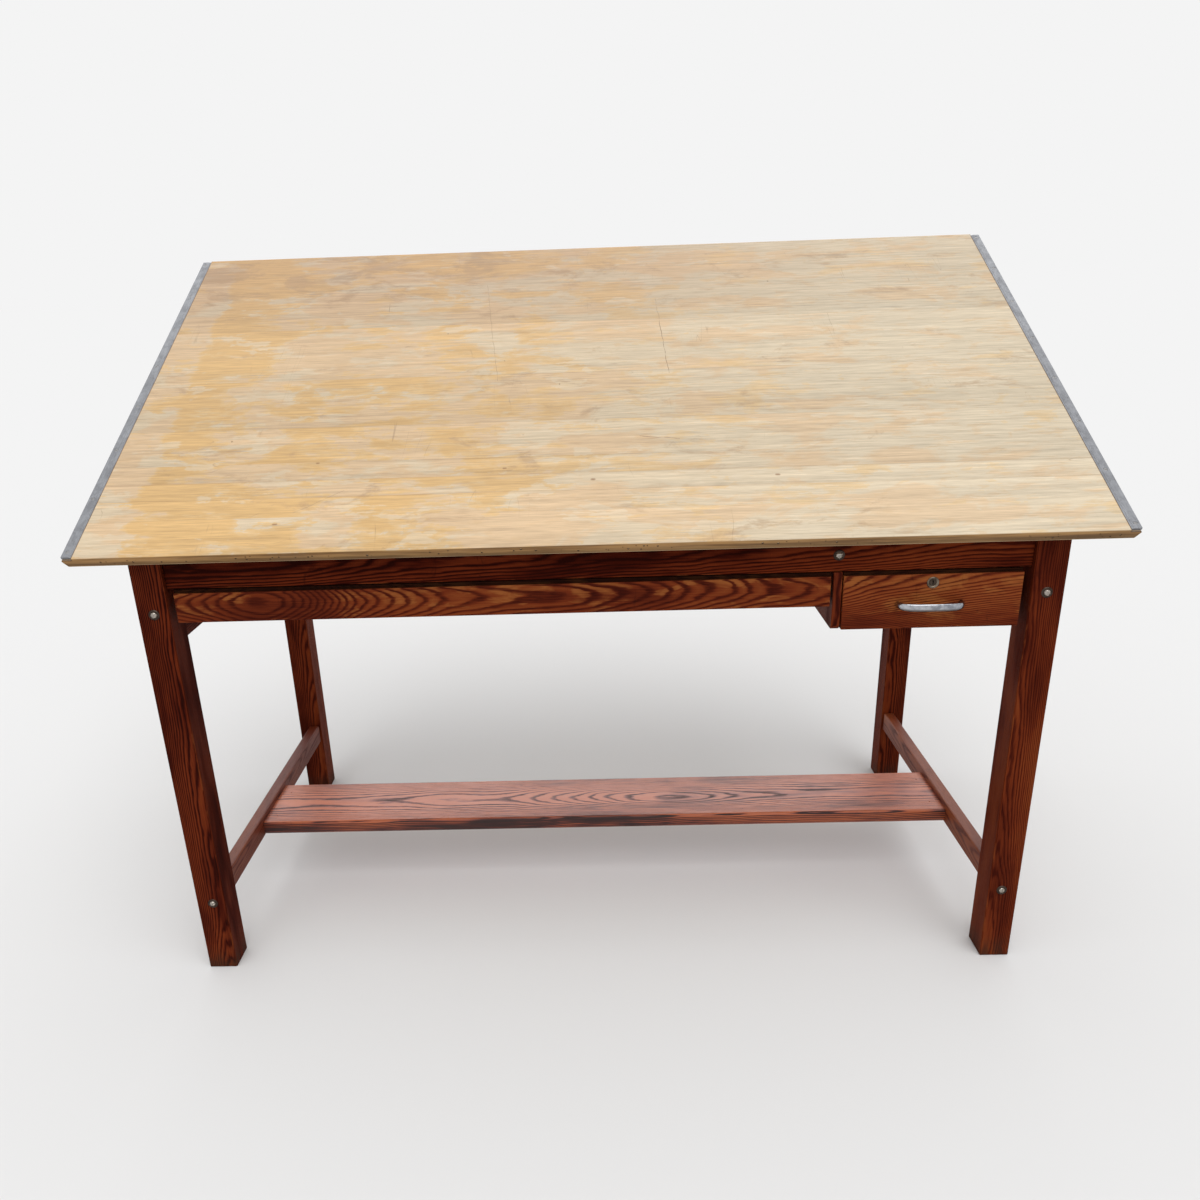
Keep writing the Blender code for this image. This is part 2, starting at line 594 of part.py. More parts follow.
def make_handle(material):
    """An oval bow handle whose two ends stand on the drawer front."""
    curve = bpy.data.curves.new("handle", "CURVE")
    curve.dimensions = "3D"
    curve.bevel_depth = HANDLE_R * MM
    curve.bevel_resolution = 3
    curve.use_fill_caps = True
    spline = curve.splines.new("POLY")
    steps = 24
    spline.points.add(steps)
    for step in range(steps + 1):
        angle = math.pi * step / steps
        x = -(HANDLE_HALF - HANDLE_R) * math.copysign(abs(math.cos(angle)) ** 0.7, math.cos(angle))
        y = -GAP - (HANDLE_REACH - HANDLE_R) * math.sin(angle) ** 0.7
        spline.points[step].co = (x * MM, y * MM, 0.0, 1.0)
    curve.materials.append(material)
    bow = bpy.data.objects.new("handle_curve", curve)
    bpy.context.collection.objects.link(bow)
    bpy.context.view_layer.update()
    mesh = bpy.data.meshes.new_from_object(bow.evaluated_get(bpy.context.evaluated_depsgraph_get()))
    bpy.data.objects.remove(bow)
    for vertex in mesh.vertices:
        vertex.co.z *= HANDLE_OVAL
    handle = bpy.data.objects.new("handle", mesh)
    bpy.context.collection.objects.link(handle)
    handle.location = metres(HANDLE_X, DRAWER_FACE_Y, HANDLE_Z)


def build():
    for item in list(bpy.data.objects):
        bpy.data.objects.remove(item, do_unlink=True)
    looks = make_materials()
    oak, steel, inner = looks["stained_oak"], looks["dark_steel"], looks["drawer_wood"]
    hinge = empty("board_hinge", metres(0.0, HINGE_Y, HINGE_Z), BOARD_TILT)
    axis_holder = empty("rail_hinge", metres(0.0, HINGE_Y, HINGE_Z), 0.0)
    make_board(hinge, looks["board_wood"], looks["edge_steel"])
    make_rails(oak, steel)
    make_footboard(oak)
    make_partition(oak)
    for side, sign in SIDES:
        for row in ("front", "rear"):
            make_leg(row, side, sign, oak)
            make_leg_bolts(row, side, sign, steel)
        make_side_frame(side, sign, oak)
        make_cleat(hinge, side, sign, looks["board_wood"])
        make_hinge(hinge, axis_holder, side, sign, steel)
        make_clevis(hinge, side, sign, steel)
        make_rod(side, sign, steel)
        make_clamp_bracket(side, sign, steel)
        make_clamp(side, sign, steel)
    make_plan_drawer(oak, inner)
    make_tool_drawer(oak, inner, looks["nickel"], looks["chrome"])


build()
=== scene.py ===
import functools
import json
import math
import random

import bmesh
import bpy
from mathutils import Matrix, Vector

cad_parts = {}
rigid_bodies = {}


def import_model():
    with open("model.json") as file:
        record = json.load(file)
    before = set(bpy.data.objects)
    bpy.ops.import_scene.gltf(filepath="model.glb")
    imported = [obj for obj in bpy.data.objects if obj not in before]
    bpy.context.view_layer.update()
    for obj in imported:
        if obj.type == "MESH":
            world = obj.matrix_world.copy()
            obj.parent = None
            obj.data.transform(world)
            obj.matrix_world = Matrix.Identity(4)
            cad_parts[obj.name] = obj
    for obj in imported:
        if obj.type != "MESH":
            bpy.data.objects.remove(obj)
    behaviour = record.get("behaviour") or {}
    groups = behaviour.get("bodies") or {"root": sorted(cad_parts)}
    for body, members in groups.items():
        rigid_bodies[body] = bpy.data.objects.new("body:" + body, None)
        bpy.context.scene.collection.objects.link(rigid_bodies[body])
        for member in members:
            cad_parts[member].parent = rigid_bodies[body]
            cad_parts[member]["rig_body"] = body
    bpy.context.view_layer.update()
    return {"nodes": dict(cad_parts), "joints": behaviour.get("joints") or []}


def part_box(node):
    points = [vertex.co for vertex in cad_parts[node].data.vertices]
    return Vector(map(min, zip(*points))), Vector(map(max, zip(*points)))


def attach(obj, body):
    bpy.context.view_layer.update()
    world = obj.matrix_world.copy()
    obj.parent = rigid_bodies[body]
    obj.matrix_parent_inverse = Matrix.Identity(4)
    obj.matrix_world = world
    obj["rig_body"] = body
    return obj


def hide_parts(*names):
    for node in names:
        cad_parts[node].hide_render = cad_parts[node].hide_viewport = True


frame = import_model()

MM = 0.001
SIDES = (("left", -1), ("right", 1))
UP = Vector((0.0, 0.0, 1.0))
BACKWARD = Vector((0.0, 1.0, 0.0))
chance = random.Random(7)


def joint(name):
    return next(item for item in frame["joints"] if item["name"] == name)


HINGE = Vector(joint("board_tilt")["pos_m"])
TILT = math.radians(-joint("board_tilt")["range_deg"][0])  # flat is the joint's lower limit
BOARD_PLACE = Matrix.Translation(HINGE) @ Matrix.Rotation(TILT, 4, "X")


# -------- Material graphs --------

class Value:
    """An output in a material's graph; arithmetic on it adds Math nodes."""

    def __init__(self, graph, socket):
        self.graph = graph
        self.socket = socket

    def __add__(self, other):
        return self.graph.calc("ADD", self, other)

    def __mul__(self, other):
        return self.graph.calc("MULTIPLY", self, other)

    def __sub__(self, other):
        return self.graph.calc("SUBTRACT", self, other)

    def __rsub__(self, other):
        return self.graph.calc("SUBTRACT", other, self)

    def __abs__(self):
        return self.graph.calc("ABSOLUTE", self)

    def fade(self, low, high, from_value=0.0, to_value=1.0):
        """from_value below low, to_value above high, and a smooth step between them."""
        node = self.graph.node("MapRange", self, low, high, from_value, to_value)
        node.interpolation_type = "SMOOTHSTEP"
        return Value(self.graph, node.outputs[0])

    def ramp(self, stops, interpolation="LINEAR"):
        """A grey level or a colour at each position."""
        node = self.graph.node("ValToRGB", self)
        ramp = node.color_ramp
        ramp.interpolation = interpolation
        while len(ramp.elements) < len(stops):
            ramp.elements.new(0.5)
        for element, (position, colour) in zip(ramp.elements, stops):
            element.position = position
            grey = not hasattr(colour, "__len__")
            element.color = (colour, colour, colour, 1.0) if grey else (*colour, 1.0)
        return Value(self.graph, node.outputs["Color"])


class Graph:
    """A material and a short way to write its nodes."""

    def __init__(self, name):
        self.material = bpy.data.materials.new(name)
        self.material.use_nodes = True
        self.tree = self.material.node_tree
        self.shader = self.tree.nodes["Principled BSDF"]
        self.place = Value(self, self.node("TexCoord").outputs["Object"])

    def plug(self, socket, value):
        if isinstance(value, Value):
            self.tree.links.new(value.socket, socket)
        elif value is not None:
            socket.default_value = value

    def node(self, kind, *values):
        """A new node, with the values plugged into its first inputs."""
        node = self.tree.nodes.new("ShaderNode" + kind)
        for socket, value in zip(node.inputs, values):
            self.plug(socket, value)
        return node

    def calc(self, operation, *values, clamp=False):
        node = self.node("Math", *values)
        node.operation = operation
        node.use_clamp = clamp
        return Value(self, node.outputs[0])

    def most(self, first, second):
        return self.calc("MAXIMUM", first, second)

    def vector(self, operation, first, second=None, scale=None):
        node = self.tree.nodes.new("ShaderNodeVectorMath")
        node.operation = operation
        self.plug(node.inputs[0], first)
        self.plug(node.inputs[1], second)
        if scale is not None:  # this socket is there only when it's used
            self.plug(node.inputs["Scale"], scale)
        number = operation in ("LENGTH", "DOT_PRODUCT")
        return Value(self, node.outputs["Value" if number else "Vector"])

    def split(self, vector):
        return [Value(self, socket) for socket in self.node("SeparateXYZ", vector).outputs]

    def join(self, x, y, z):
        return Value(self, self.node("CombineXYZ", x, y, z).outputs[0])

    def noise(self, coords, stretch, detail=2.0, roughness=0.5, distortion=0.0, colour=False):
        """Noise over coordinates multiplied by the stretch; a stretch of two is along and across."""
        stretch = (*stretch, stretch[-1])[:3]
        node = self.node("TexNoise", self.vector("MULTIPLY", coords, stretch))
        constants = {"Scale": 1.0, "Detail": detail, "Roughness": roughness, "Distortion": distortion}
        for name, value in constants.items():
            node.inputs[name].default_value = value
        return Value(self, node.outputs["Color" if colour else "Fac"])

    def blend(self, amount, first, second, mode="MIX"):
        node = self.tree.nodes.new("ShaderNodeMix")
        node.data_type = "RGBA"
        node.blend_type = mode
        self.plug(node.inputs[0], amount)
        for socket, value in ((node.inputs[6], first), (node.inputs[7], second)):
            self.plug(socket, (*value, 1.0) if isinstance(value, tuple) else value)
        return Value(self, node.outputs[2])

    def tinted(self, colour, level):
        """The colour multiplied by a grey level."""
        return self.blend(1.0, colour, self.join(level, level, level), "MULTIPLY")

    def bump(self, height, distance, strength=1.0, below=None):
        node = self.node("Bump", strength, distance)
        self.plug(node.inputs["Height"], height)
        self.plug(node.inputs["Normal"], below)
        return Value(self, node.outputs[0])

    def finish(self, colour, roughness, normal=None, **constants):
        self.plug(self.shader.inputs["Base Color"], colour)
        self.plug(self.shader.inputs["Roughness"], roughness)
        self.plug(self.shader.inputs["Normal"], normal)
        for name, value in constants.items():
            self.shader.inputs[name.replace("_", " ")].default_value = value
        return self.material


MIDDLE = (0.5, 0.5, 0.5)


def along_grain(graph, coords, along):
    """The coordinates in an order that starts along the grain."""
    x, y, z = graph.split(coords)
    return {"x": (x, y, z), "y": (y, z, x), "z": (z, x, y)}[along]


def ring_distance(graph, grain, heart, drift, seed, wander, eye):
    """Metres from the tree's heart, which runs crooked and askew past the piece."""
    u, v, w = grain
    ripple = 0.9
    base = graph.vector("ADD", graph.join(u, v, w), (seed * 3.1, seed * 1.7, seed * 2.3))
    slow = graph.noise(base, (2.6, 5.0), 2.0, 0.5, 0.3, colour=True)
    fast = graph.noise(base, (16.0, 90.0), 2.0, 0.6, colour=True)
    swings = [graph.vector("SCALE", graph.vector("SUBTRACT", swing, MIDDLE), scale=2.0 * reach * MM)
              for swing, reach in ((slow, wander), (fast, ripple))]
    _, sway_v, sway_w = graph.split(graph.vector("ADD", *swings))
    from_v = v - heart[0] + sway_v + u * -drift[0]
    from_w = w - heart[1] + sway_w + u * -drift[1]
    radius = graph.vector("LENGTH", graph.join(from_v, from_w, 0.0))
    if eye:  # a swelling in the rings, which shows as an eye
        middle, reach, rise = eye
        apart = graph.vector("SUBTRACT", graph.join(u, v, w), middle)
        apart = graph.vector("LENGTH", graph.vector("DIVIDE", apart, reach))
        radius = radius + graph.calc("EXPONENT", apart * apart * -1.0) * rise
    return radius, base


OAK_TONES = {
    "pore": (0.018, 0.0022, 0.0011),
    "dark": (0.050, 0.0056, 0.0019),
    "mid": (0.126, 0.0200, 0.0047),
    "light": (0.220, 0.0540, 0.0130),
    "amber": (0.310, 0.1080, 0.0270),
    "worn": (0.26, 0.070, 0.020),
    "dirt": (0.030, 0.016, 0.010),
    # painted shade for the hollow behind a drawer front's top edge
    "recess_shade": (0.006, 0.002, 0.001),
}
# the footboard's stain is rubbed thin by feet
FOOT_TONES = {**OAK_TONES, "mid": (0.215, 0.033, 0.008), "light": (0.4, 0.09, 0.023)}
OAK_SEASONS = [(0.0, 0.3), (0.1, 0.0), (0.24, 0.1), (0.42, 0.72), (0.7, 1.0), (0.9, 0.8), (1.0, 0.3)]


def stained_oak(name, node, along, heart, drift, seed, tone=0.5, spacing=5.0, foot_dirt=False,
                eye=None, sheen=0.045, amber=0.0, wander=9.0, slope=0.0, gloss_floor=0.38, contrast=1.0,
                tones=OAK_TONES, painted_shade_above=None, painted_front_shade=0.0):
    """Red-brown stained oak: rings cut by the face, dark open pores, worn and darkened arrises."""
    low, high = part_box(node)
    centre, half = (low + high) / 2.0, (high - low) / 2.0
    graph = Graph(name)
    _, y, z = graph.split(graph.place)
    u, v, w = grain = along_grain(graph, graph.vector("SUBTRACT", graph.place, centre), along)
    radius, base = ring_distance(graph, grain, heart, drift, seed, wander, eye)
    uneven = graph.noise(base, (1.5, 1.5), 1.0)
    phase = graph.calc("FRACT", radius * (1.0 / (spacing * MM)) + uneven * 3.0)
    season = phase.ramp(OAK_SEASONS)
    cloud = graph.noise(base, (3.0, 14.0), 3.0, 0.6)
    streak = graph.noise(base, (9.0, 420.0), 2.0, 0.7)
    strength = cloud.fade(0.3, 0.58, 0.35, 1.0) * (0.52 * contrast)
    level = season * strength + (0.1 - 0.2 * (contrast - 1.0))
    # painted shade: a tone gradient along the grain, which darkens the legs towards their tops under the
    # board and the front rail towards its left end
    level = level + (streak - 0.5) * (0.55 * contrast) + (cloud - 0.5) * 0.45 + u * slope
    if painted_front_shade:  # painted shade: the footboard's front face is darker
        level = level + y.fade(low.y + 0.0006, low.y + 0.004, -painted_front_shade, 0.0)
    level = graph.calc("ADD", level, tone - 0.42, clamp=True)
    stops = zip((0.0, 0.2, 0.55, 1.0), ("pore", "dark", "mid", "light"))
    colour = level.ramp([(stop, tones[tone_name]) for stop, tone_name in stops])
    if amber:  # patches where the stain is thin
        thin = graph.noise(base, (9.0, 26.0), 4.0, 0.6, 0.6)
        colour = graph.blend(thin.fade(0.5, 0.6) * amber * level.fade(0.3, 0.6), colour, tones["amber"])
    # open pores: short dark dashes in the earlywood
    dashes = graph.noise(base, (60.0, 1300.0), 1.0, 0.5)
    pores = dashes.fade(0.54, 0.64) * phase.fade(0.0, 0.42, 1.0, 0.15)
    colour = graph.blend(pores * 0.75, colour, tones["pore"])
    # the arris between two long faces is where both distances to the faces are small
    order = {"x": (1, 2), "y": (2, 0), "z": (0, 1)}[along]
    arris = graph.most(half[order[0]] - abs(v), half[order[1]] - abs(w))
    patchy = graph.noise(base, (22.0, 60.0), 3.0, 0.65)
    worn = arris.fade(0.0005, 0.0032, 1.0, 0.0) * patchy.fade(0.5, 0.66)
    colour = graph.blend(worn * 0.4, colour, tones["worn"])
    # scuffs and old drips
    scuffs = graph.noise(graph.place, (30.0, 30.0, 11.0), 4.0, 0.7, 1.0)
    colour = graph.blend(scuffs.fade(0.62, 0.76, 0.0, 0.5), colour, tones["pore"])
    if foot_dirt:
        colour = graph.blend(z.fade(0.0, 0.06, 0.7, 0.0) * patchy.fade(0.3, 0.6), colour, tones["dirt"])
    matt = graph.most(pores, level.fade(0.1, 0.5, 0.85, 0.0))
    if painted_shade_above is not None:  # painted shade: the hollow under the rail is made nearly black and matt
        recess_shade = z.fade(painted_shade_above - 0.0006, painted_shade_above + 0.0002)
        colour = graph.blend(recess_shade * 0.92, colour, tones["recess_shade"])
        matt = graph.most(matt, recess_shade)
    gloss = streak * 0.2 + gloss_floor + matt * 0.35 + worn * 0.15
    normal = graph.bump(season * 0.35 + pores * -1.0, 0.00025, 0.7)
    normal = graph.bump(cloud, 0.0015, 0.25, normal)
    return graph.finish(colour, gloss, normal, Specular_IOR_Level=sheen)


PANEL_DEPTH = 0.9575
PANEL_OVERHANG = 0.027  # in front of the hinge line
PANEL_TOP = 0.0241
PANEL_UNDERSIDE = 0.0035
PANEL_HALF = 0.9144
PLANK_SEAMS = (0.056, 0.107, 0.152, 0.199, 0.3, 0.45, 0.63)  # metres behind the hinge line
PLANK_TINTS = (0.56, 0.66, 0.6, 0.36, 0.52, 0.36, 0.7, 0.44)  # the planks' tints, front to back
# from, to, half width in mm, strength
LONG_SCRATCHES = (
    ((-0.226, 0.783), (-0.202, 0.567), 0.8, 0.55),
    ((-0.202, 0.567), (-0.184, 0.430), 0.7, 0.65),
    ((0.148, 0.706), (0.152, 0.617), 0.7, 0.70),
    ((0.152, 0.617), (0.160, 0.440), 0.9, 1.00),
    ((0.510, 0.630), (0.512, 0.554), 0.7, 0.55),
    ((0.093, 0.249), (0.166, 0.237), 1.1, 1.00),
    ((0.166, 0.237), (0.307, 0.224), 0.7, 0.45),
    ((-0.530, 0.070), (-0.447, 0.124), 0.7, 0.60),
    ((-0.440, 0.720), (-0.438, 0.690), 0.9, 0.80),
)
SURFACE_KNOTS = ((-0.509, 0.199), (0.001, 0.1325), (-0.56, 0.042), (0.332, 0.1325), (-0.16, 0.17))
# how much varnish is left, from the board's left end to its right end
VARNISH_LEFT = [(0.0, 0.3), (0.046, 0.34), (0.06, 0.82), (0.12, 0.74), (0.165, 0.56), (0.3, 0.5),
                (0.62, 0.46), (0.7, 0.31), (1.0, 0.27)]
PINE_SEASONS = [(0.0, 0.2), (0.12, 0.0), (0.4, 0.7), (0.85, 1.0), (1.0, 0.2)]
PANEL_TONES = {
    "grey": (0.492, 0.412, 0.300),
    "pink": (0.500, 0.374, 0.243),
    "tan": (0.485, 0.345, 0.205),
    "amber": (0.512, 0.360, 0.183),
    "honey": (0.492, 0.318, 0.132),
    "bare": (0.510, 0.435, 0.325),
    "grime": (0.330, 0.225, 0.135),
    "raw": (0.520, 0.385, 0.225),
    "raw_dark": (0.405, 0.275, 0.145),
    "knot": (0.215, 0.105, 0.048),
    "seam": (0.340, 0.190, 0.085),
    "seam_dark": (0.120, 0.060, 0.030),
    "scratch": (0.160, 0.095, 0.055),
    "speck": (0.070, 0.040, 0.025),
    "edge": (0.365, 0.200, 0.072),
    "edge_dark": (0.150, 0.072, 0.024),
}
CAST_LEFT = (1.0, 0.958, 0.9)
CAST_RIGHT = (1.03, 1.035, 1.03)
CAST_REAR = (0.855, 0.78, 0.735)


def near_line(graph, start, end, width, wander):
    """1 along a scratch from start to end on the board's surface, 0 beyond width of it."""
    ahead = Vector(end) - Vector(start)
    run = (ahead[0], ahead[1], 0.0)
    apart = graph.vector("SUBTRACT", wander, (start[0], start[1], 0.0))
    along = graph.vector("DOT_PRODUCT", apart, run)
    share = graph.calc("MULTIPLY", along, 1.0 / ahead.length_squared, clamp=True)
    foot = graph.vector("SCALE", run, scale=share)
    return graph.vector("LENGTH", graph.vector("SUBTRACT", apart, foot)).fade(0.2 * width, width, 1.0, 0.0)


def panel_marks(graph, flat):
    """The long scratches and small knots on the drawing surface: two masks."""
    wobble = graph.noise(flat, (30.0, 30.0, 0.0), 2.0, 0.5, colour=True)
    wobble = graph.vector("MULTIPLY", graph.vector("SUBTRACT", wobble, MIDDLE), (0.007, 0.007, 0.0))
    wander = graph.vector("ADD", flat, wobble)
    broken = graph.noise(flat, (55.0, 55.0, 0.0), 3.0, 0.6)
    scratches, knots = [], []
    for start, end, width, strength in LONG_SCRATCHES:
        faint = broken.fade(0.36, 0.52, 0.25 * strength, strength)
        scratches.append(near_line(graph, start, end, width * MM, wander) * faint)
    for number, (x, y) in enumerate(SURFACE_KNOTS):
        end = (x + 0.0025 + 0.001 * (number % 3), y)
        knots.append(near_line(graph, (x, y), end, (3.2 + number % 2) * MM, wander))
    return functools.reduce(graph.most, scratches), functools.reduce(graph.most, knots)


def plank_masks(across):
    """Each plank's tint, a 0 to 1 ramp from each plank's front to its back for painted cupping shade, and
    the lines between them.
    """
    edges = [0.0] + [(seam + PANEL_OVERHANG) / PANEL_DEPTH for seam in PLANK_SEAMS] + [1.0]
    tints = across.ramp(list(zip(edges, PLANK_TINTS)), "CONSTANT")
    hair = 0.0003 / PANEL_DEPTH
    line = 0.0008 / PANEL_DEPTH
    cupping_shade_stops = []
    for front, back in zip(edges, edges[1:]):
        cupping_shade_stops += [(front + hair, 0.0), (back - hair, 1.0)]
    stops = [(0.0, 0.0)]
    for seam in edges[1:-1]:
        stops += [(seam - line, 0.0), (seam, 1.0), (seam + line, 0.0)]
    return tints, across.ramp(cupping_shade_stops), across.ramp(stops)


def worn_varnish(graph, base, x, y, fibre):
    """The drawing surface's colour before its grain, and where its varnish is left."""
    tones = PANEL_TONES
    # bare wood, pink in some patches and grey in others
    wash = graph.noise(base, (4.2, 11.0), 6.0, 0.62, 0.4) + x.fade(-0.5, 0.8, -0.04, 0.05)
    mottle = graph.noise(graph.place, (15.0, 42.0), 5.0, 0.7, 0.4)
    colour = graph.blend(wash.fade(0.455, 0.535), tones["pink"], tones["grey"])
    colour = graph.blend(mottle.fade(0.53, 0.64, 0.0, 0.5), colour, tones["tan"])
    # old varnish: a solid band near the left end, thinning out in patches past the middle
    left = ((x + (mottle - 0.5) * 0.06) * (0.5 / PANEL_HALF) + 0.5).ramp(VARNISH_LEFT)
    patch = graph.noise(base, (7.0, 17.0), 6.0, 0.64, 0.3) * 0.9
    patch = patch + graph.noise(base, (2.2, 4.0), 2.0, 0.5) * 0.45
    patch = patch - 0.175 + left * 0.42 + (fibre - 0.5) * 0.14
    varnish = patch.fade(0.712, 0.733)
    depth = x.fade(-0.45, 0.3, 0.9, 0.42)
    colour = graph.blend(varnish * depth, colour, tones["amber"])
    colour = graph.blend(patch.fade(0.735, 0.8) * (depth * 0.75), colour, tones["honey"])
    rubbed = graph.noise(graph.place, (9.0, 24.0), 5.0, 0.62, 0.25)
    colour = graph.blend(rubbed.fade(0.585, 0.625, 0.0, 0.62), colour, tones["bare"])
    # brown handling marks, mostly towards the back on the left
    grime = graph.noise(graph.place, (6.5, 15.0), 6.0, 0.72, 0.5)
    grime = grime + y.fade(0.55, 0.9, 0.0, 0.1) * x.fade(-0.7, 0.6, 1.0, 0.2)
    return graph.blend(grime.fade(0.575, 0.69, 0.0, 0.5), colour, tones["grime"]), varnish


def short_scratches(graph):
    """Faint scratches from the contour lines of two stretched noises."""
    marks = []
    for number, stretch in enumerate(((40.0, 3.6, 3.6), (3.0, 30.0, 30.0))):
        spot = graph.vector("ADD", graph.place, (number * 5.3, number * 2.9, 0.0))
        contour = abs(graph.noise(spot, stretch, 1.0, 0.4) - 0.5)
        thin = graph.noise(spot, (7.0, 7.0), 3.0, 0.6)
        marks.append(contour.fade(0.0, 0.005, 1.0, 0.0) * thin.fade(0.56, 0.66))
    return graph.most(*marks)


def panel_edges(graph, colour, wide, ahead, z):
    """The colour with the board's edges handled to an olive brown and given painted shade low down, and
    where those edges are.
    """
    tones = PANEL_TONES
    side = graph.most(ahead.fade(0.0008, 0.002, 1.0, 0.0), wide.fade(0.9125, 0.9135))
    side = graph.most(side, ahead.fade(PANEL_DEPTH - 0.0015, PANEL_DEPTH - 0.0005))
    side = side * z.fade(0.0228, 0.024, 1.0, 0.0)
    olive = graph.noise(graph.place, (4.0, 90.0), 4.0, 0.68)
    edge = graph.blend(olive.fade(0.36, 0.64), tones["edge_dark"], tones["edge"])
    # painted shade: the edges darken towards their lower part
    edge = graph.tinted(edge, z.fade(0.006, 0.0205, 0.62, 1.05))
    lower_arris = z.fade(0.0046, 0.006, 1.0, 0.0) * olive.fade(0.3, 0.55, 0.35, 0.85)
    colour = graph.blend(side * 0.94, colour, graph.blend(lower_arris, edge, tones["tan"]))
    # the joint beside the steel, the pits in the front edge and the holes in the surface are dark
    inside = ahead.fade(0.00015, 0.0006) * ahead.fade(0.0017, 0.0019, 1.0, 0.0)
    inside = inside * abs(z - 0.0138).fade(0.0078, 0.0082, 1.0, 0.0)
    sunk = z.fade(0.0228, 0.0235, 1.0, 0.0) * ahead.fade(0.0025, 0.003)
    sunk = sunk * ahead.fade(PANEL_DEPTH - 0.0025, PANEL_DEPTH - 0.0015, 1.0, 0.0)
    sunk = sunk * z.fade(0.005, 0.006) * wide.fade(0.893, 0.894, 1.0, 0.0)
    beside = wide.fade(0.8936, 0.895, 0.0, 0.85) * z.fade(0.018, 0.0195)
    colour = graph.blend(beside, colour, tones["seam_dark"])
    return graph.blend(graph.most(inside, sunk), colour, tones["speck"]), side


def panel_wood(name):
    """The drawing surface: glued planks, worn grey in places, with old amber varnish left in others."""
    graph = Graph(name)
    tones = PANEL_TONES
    x, y, z = graph.split(graph.place)
    ahead = y + PANEL_OVERHANG
    tints, cupping_shade, seam_line = plank_masks(ahead * (1.0 / PANEL_DEPTH))
    shift = tints * 37.0
    base = graph.vector("ADD", graph.place, graph.join(shift, 0.0, shift))
    fibre = graph.noise(base, (4.0, 190.0), 4.0, 0.68)
    fine = graph.noise(base, (22.0, 1000.0), 2.0, 0.6)
    streaks = graph.noise(base, (1.6, 48.0), 3.0, 0.6)
    sweep = graph.noise(base, (0.9, 9.0), 1.0, 0.4, 0.2)
    rings = graph.calc("FRACT", sweep * 24.0).ramp(PINE_SEASONS)
    colour, varnish = worn_varnish(graph, base, x, y, fibre)
    # the underside was never varnished
    raw = graph.blend(streaks.fade(0.35, 0.65), tones["raw"], tones["raw_dark"])
    colour = graph.blend(z.fade(0.0042, 0.0052, 1.0, 0.0), colour, raw)
    # the grain itself, and each plank's own tint
    tone = (fibre - 0.5) * 0.76 + 1.0 + (fine - 0.5) * 0.75 + (streaks - 0.5) * 0.24
    tone = tone + (rings - 0.6) * 0.055 + (tints - 0.5) * 0.22
    # painted shade and highlight: each plank darkens towards its front and gets a painted highlight along
    # its back edge, like light on cupped planks
    tone = tone + cupping_shade.fade(0.0, 1.0, -0.03, 0.03) + cupping_shade.fade(0.955, 0.99, 0.0, 0.045)
    colour = graph.tinted(colour, tone)
    # darker at the back on the left, brightest along the front
    right = x.fade(-0.25, 0.75)
    rear = y.fade(0.5, 0.86) * (right * -0.75 + 1.0)
    cast = graph.blend(rear, graph.blend(right, CAST_LEFT, CAST_RIGHT), CAST_REAR)
    colour = graph.tinted(graph.blend(1.0, colour, cast, "MULTIPLY"), y.fade(0.0, 0.3, 1.085, 1.0))
    # seams between the planks
    broken = graph.noise(graph.place, (6.0, 2.0), 3.0, 0.6)
    colour = graph.blend(seam_line * broken.fade(0.36, 0.6, 0.1, 0.65), colour, tones["seam"])
    # scratches and knots
    long_lines, knots = panel_marks(graph, graph.join(x, y, 0.0))
    on_top = z.fade(0.0225, 0.0237)
    lines = graph.most(short_scratches(graph) * 0.45, long_lines) * on_top
    colour = graph.blend(lines * 0.8, colour, tones["scratch"])
    colour = graph.blend(knots * on_top * 0.72, colour, tones["knot"])
    # dark specks
    cells = graph.node("TexVoronoi", graph.vector("MULTIPLY", graph.place, (1.0, 1.6, 1.6)))
    cells.inputs["Scale"].default_value = 24.0
    near, shade = Value(graph, cells.outputs["Distance"]), Value(graph, cells.outputs["Color"])
    speck = near.fade(0.016, 0.036, 1.0, 0.0) * graph.split(shade)[0].fade(0.93, 0.95)
    colour = graph.blend(speck * 0.7, colour, tones["speck"])
    colour, side = panel_edges(graph, colour, abs(x), ahead, z)
    rough = fibre * 0.2 + (varnish * -0.12 + 0.48) + side * 0.3  # the bare edges have no polish
    normal = graph.bump(fine * 0.5 + fibre, 0.00018, 0.6)
    normal = graph.bump(lines * -1.0 + speck * -1.5, 0.0003, 0.7, normal)
    normal = graph.bump(sweep, 0.004, 0.1, normal)
    return graph.finish(colour, rough, normal, Specular_IOR_Level=0.25)


def plain_wood(name, along, pale, dark, seed):
    """Unstained wood inside the drawers and under the board."""
    graph = Graph(name)
    grain = graph.join(*along_grain(graph, graph.place, along))
    base = graph.vector("ADD", grain, (seed * 1.3, seed * 2.1, seed * 0.7))
    sweep = graph.noise(base, (1.6, 14.0), 2.0, 0.5, 0.4)
    rings = graph.calc("FRACT", sweep * 22.0)
    rings = rings.ramp([(0.0, 0.15), (0.1, 0.0), (0.45, 0.7), (0.85, 1.0), (1.0, 0.15)])
    fibre = graph.noise(base, (8.0, 260.0), 4.0, 0.65)
    stain = graph.noise(base, (5.0, 9.0), 4.0, 0.6, 0.5)
    level = rings * 0.35 + fibre * 0.55 + (stain - 0.5) * 0.7
    colour = level.ramp([(0.15, dark), (0.85, pale)])
    colour = graph.blend(stain.fade(0.6, 0.74, 0.0, 0.4), colour, tuple(0.35 * value for value in dark))
    normal = graph.bump(rings * 0.5 + fibre, 0.0002, 0.6)
    return graph.finish(colour, fibre * 0.25 + 0.48, normal, Specular_IOR_Level=0.3)


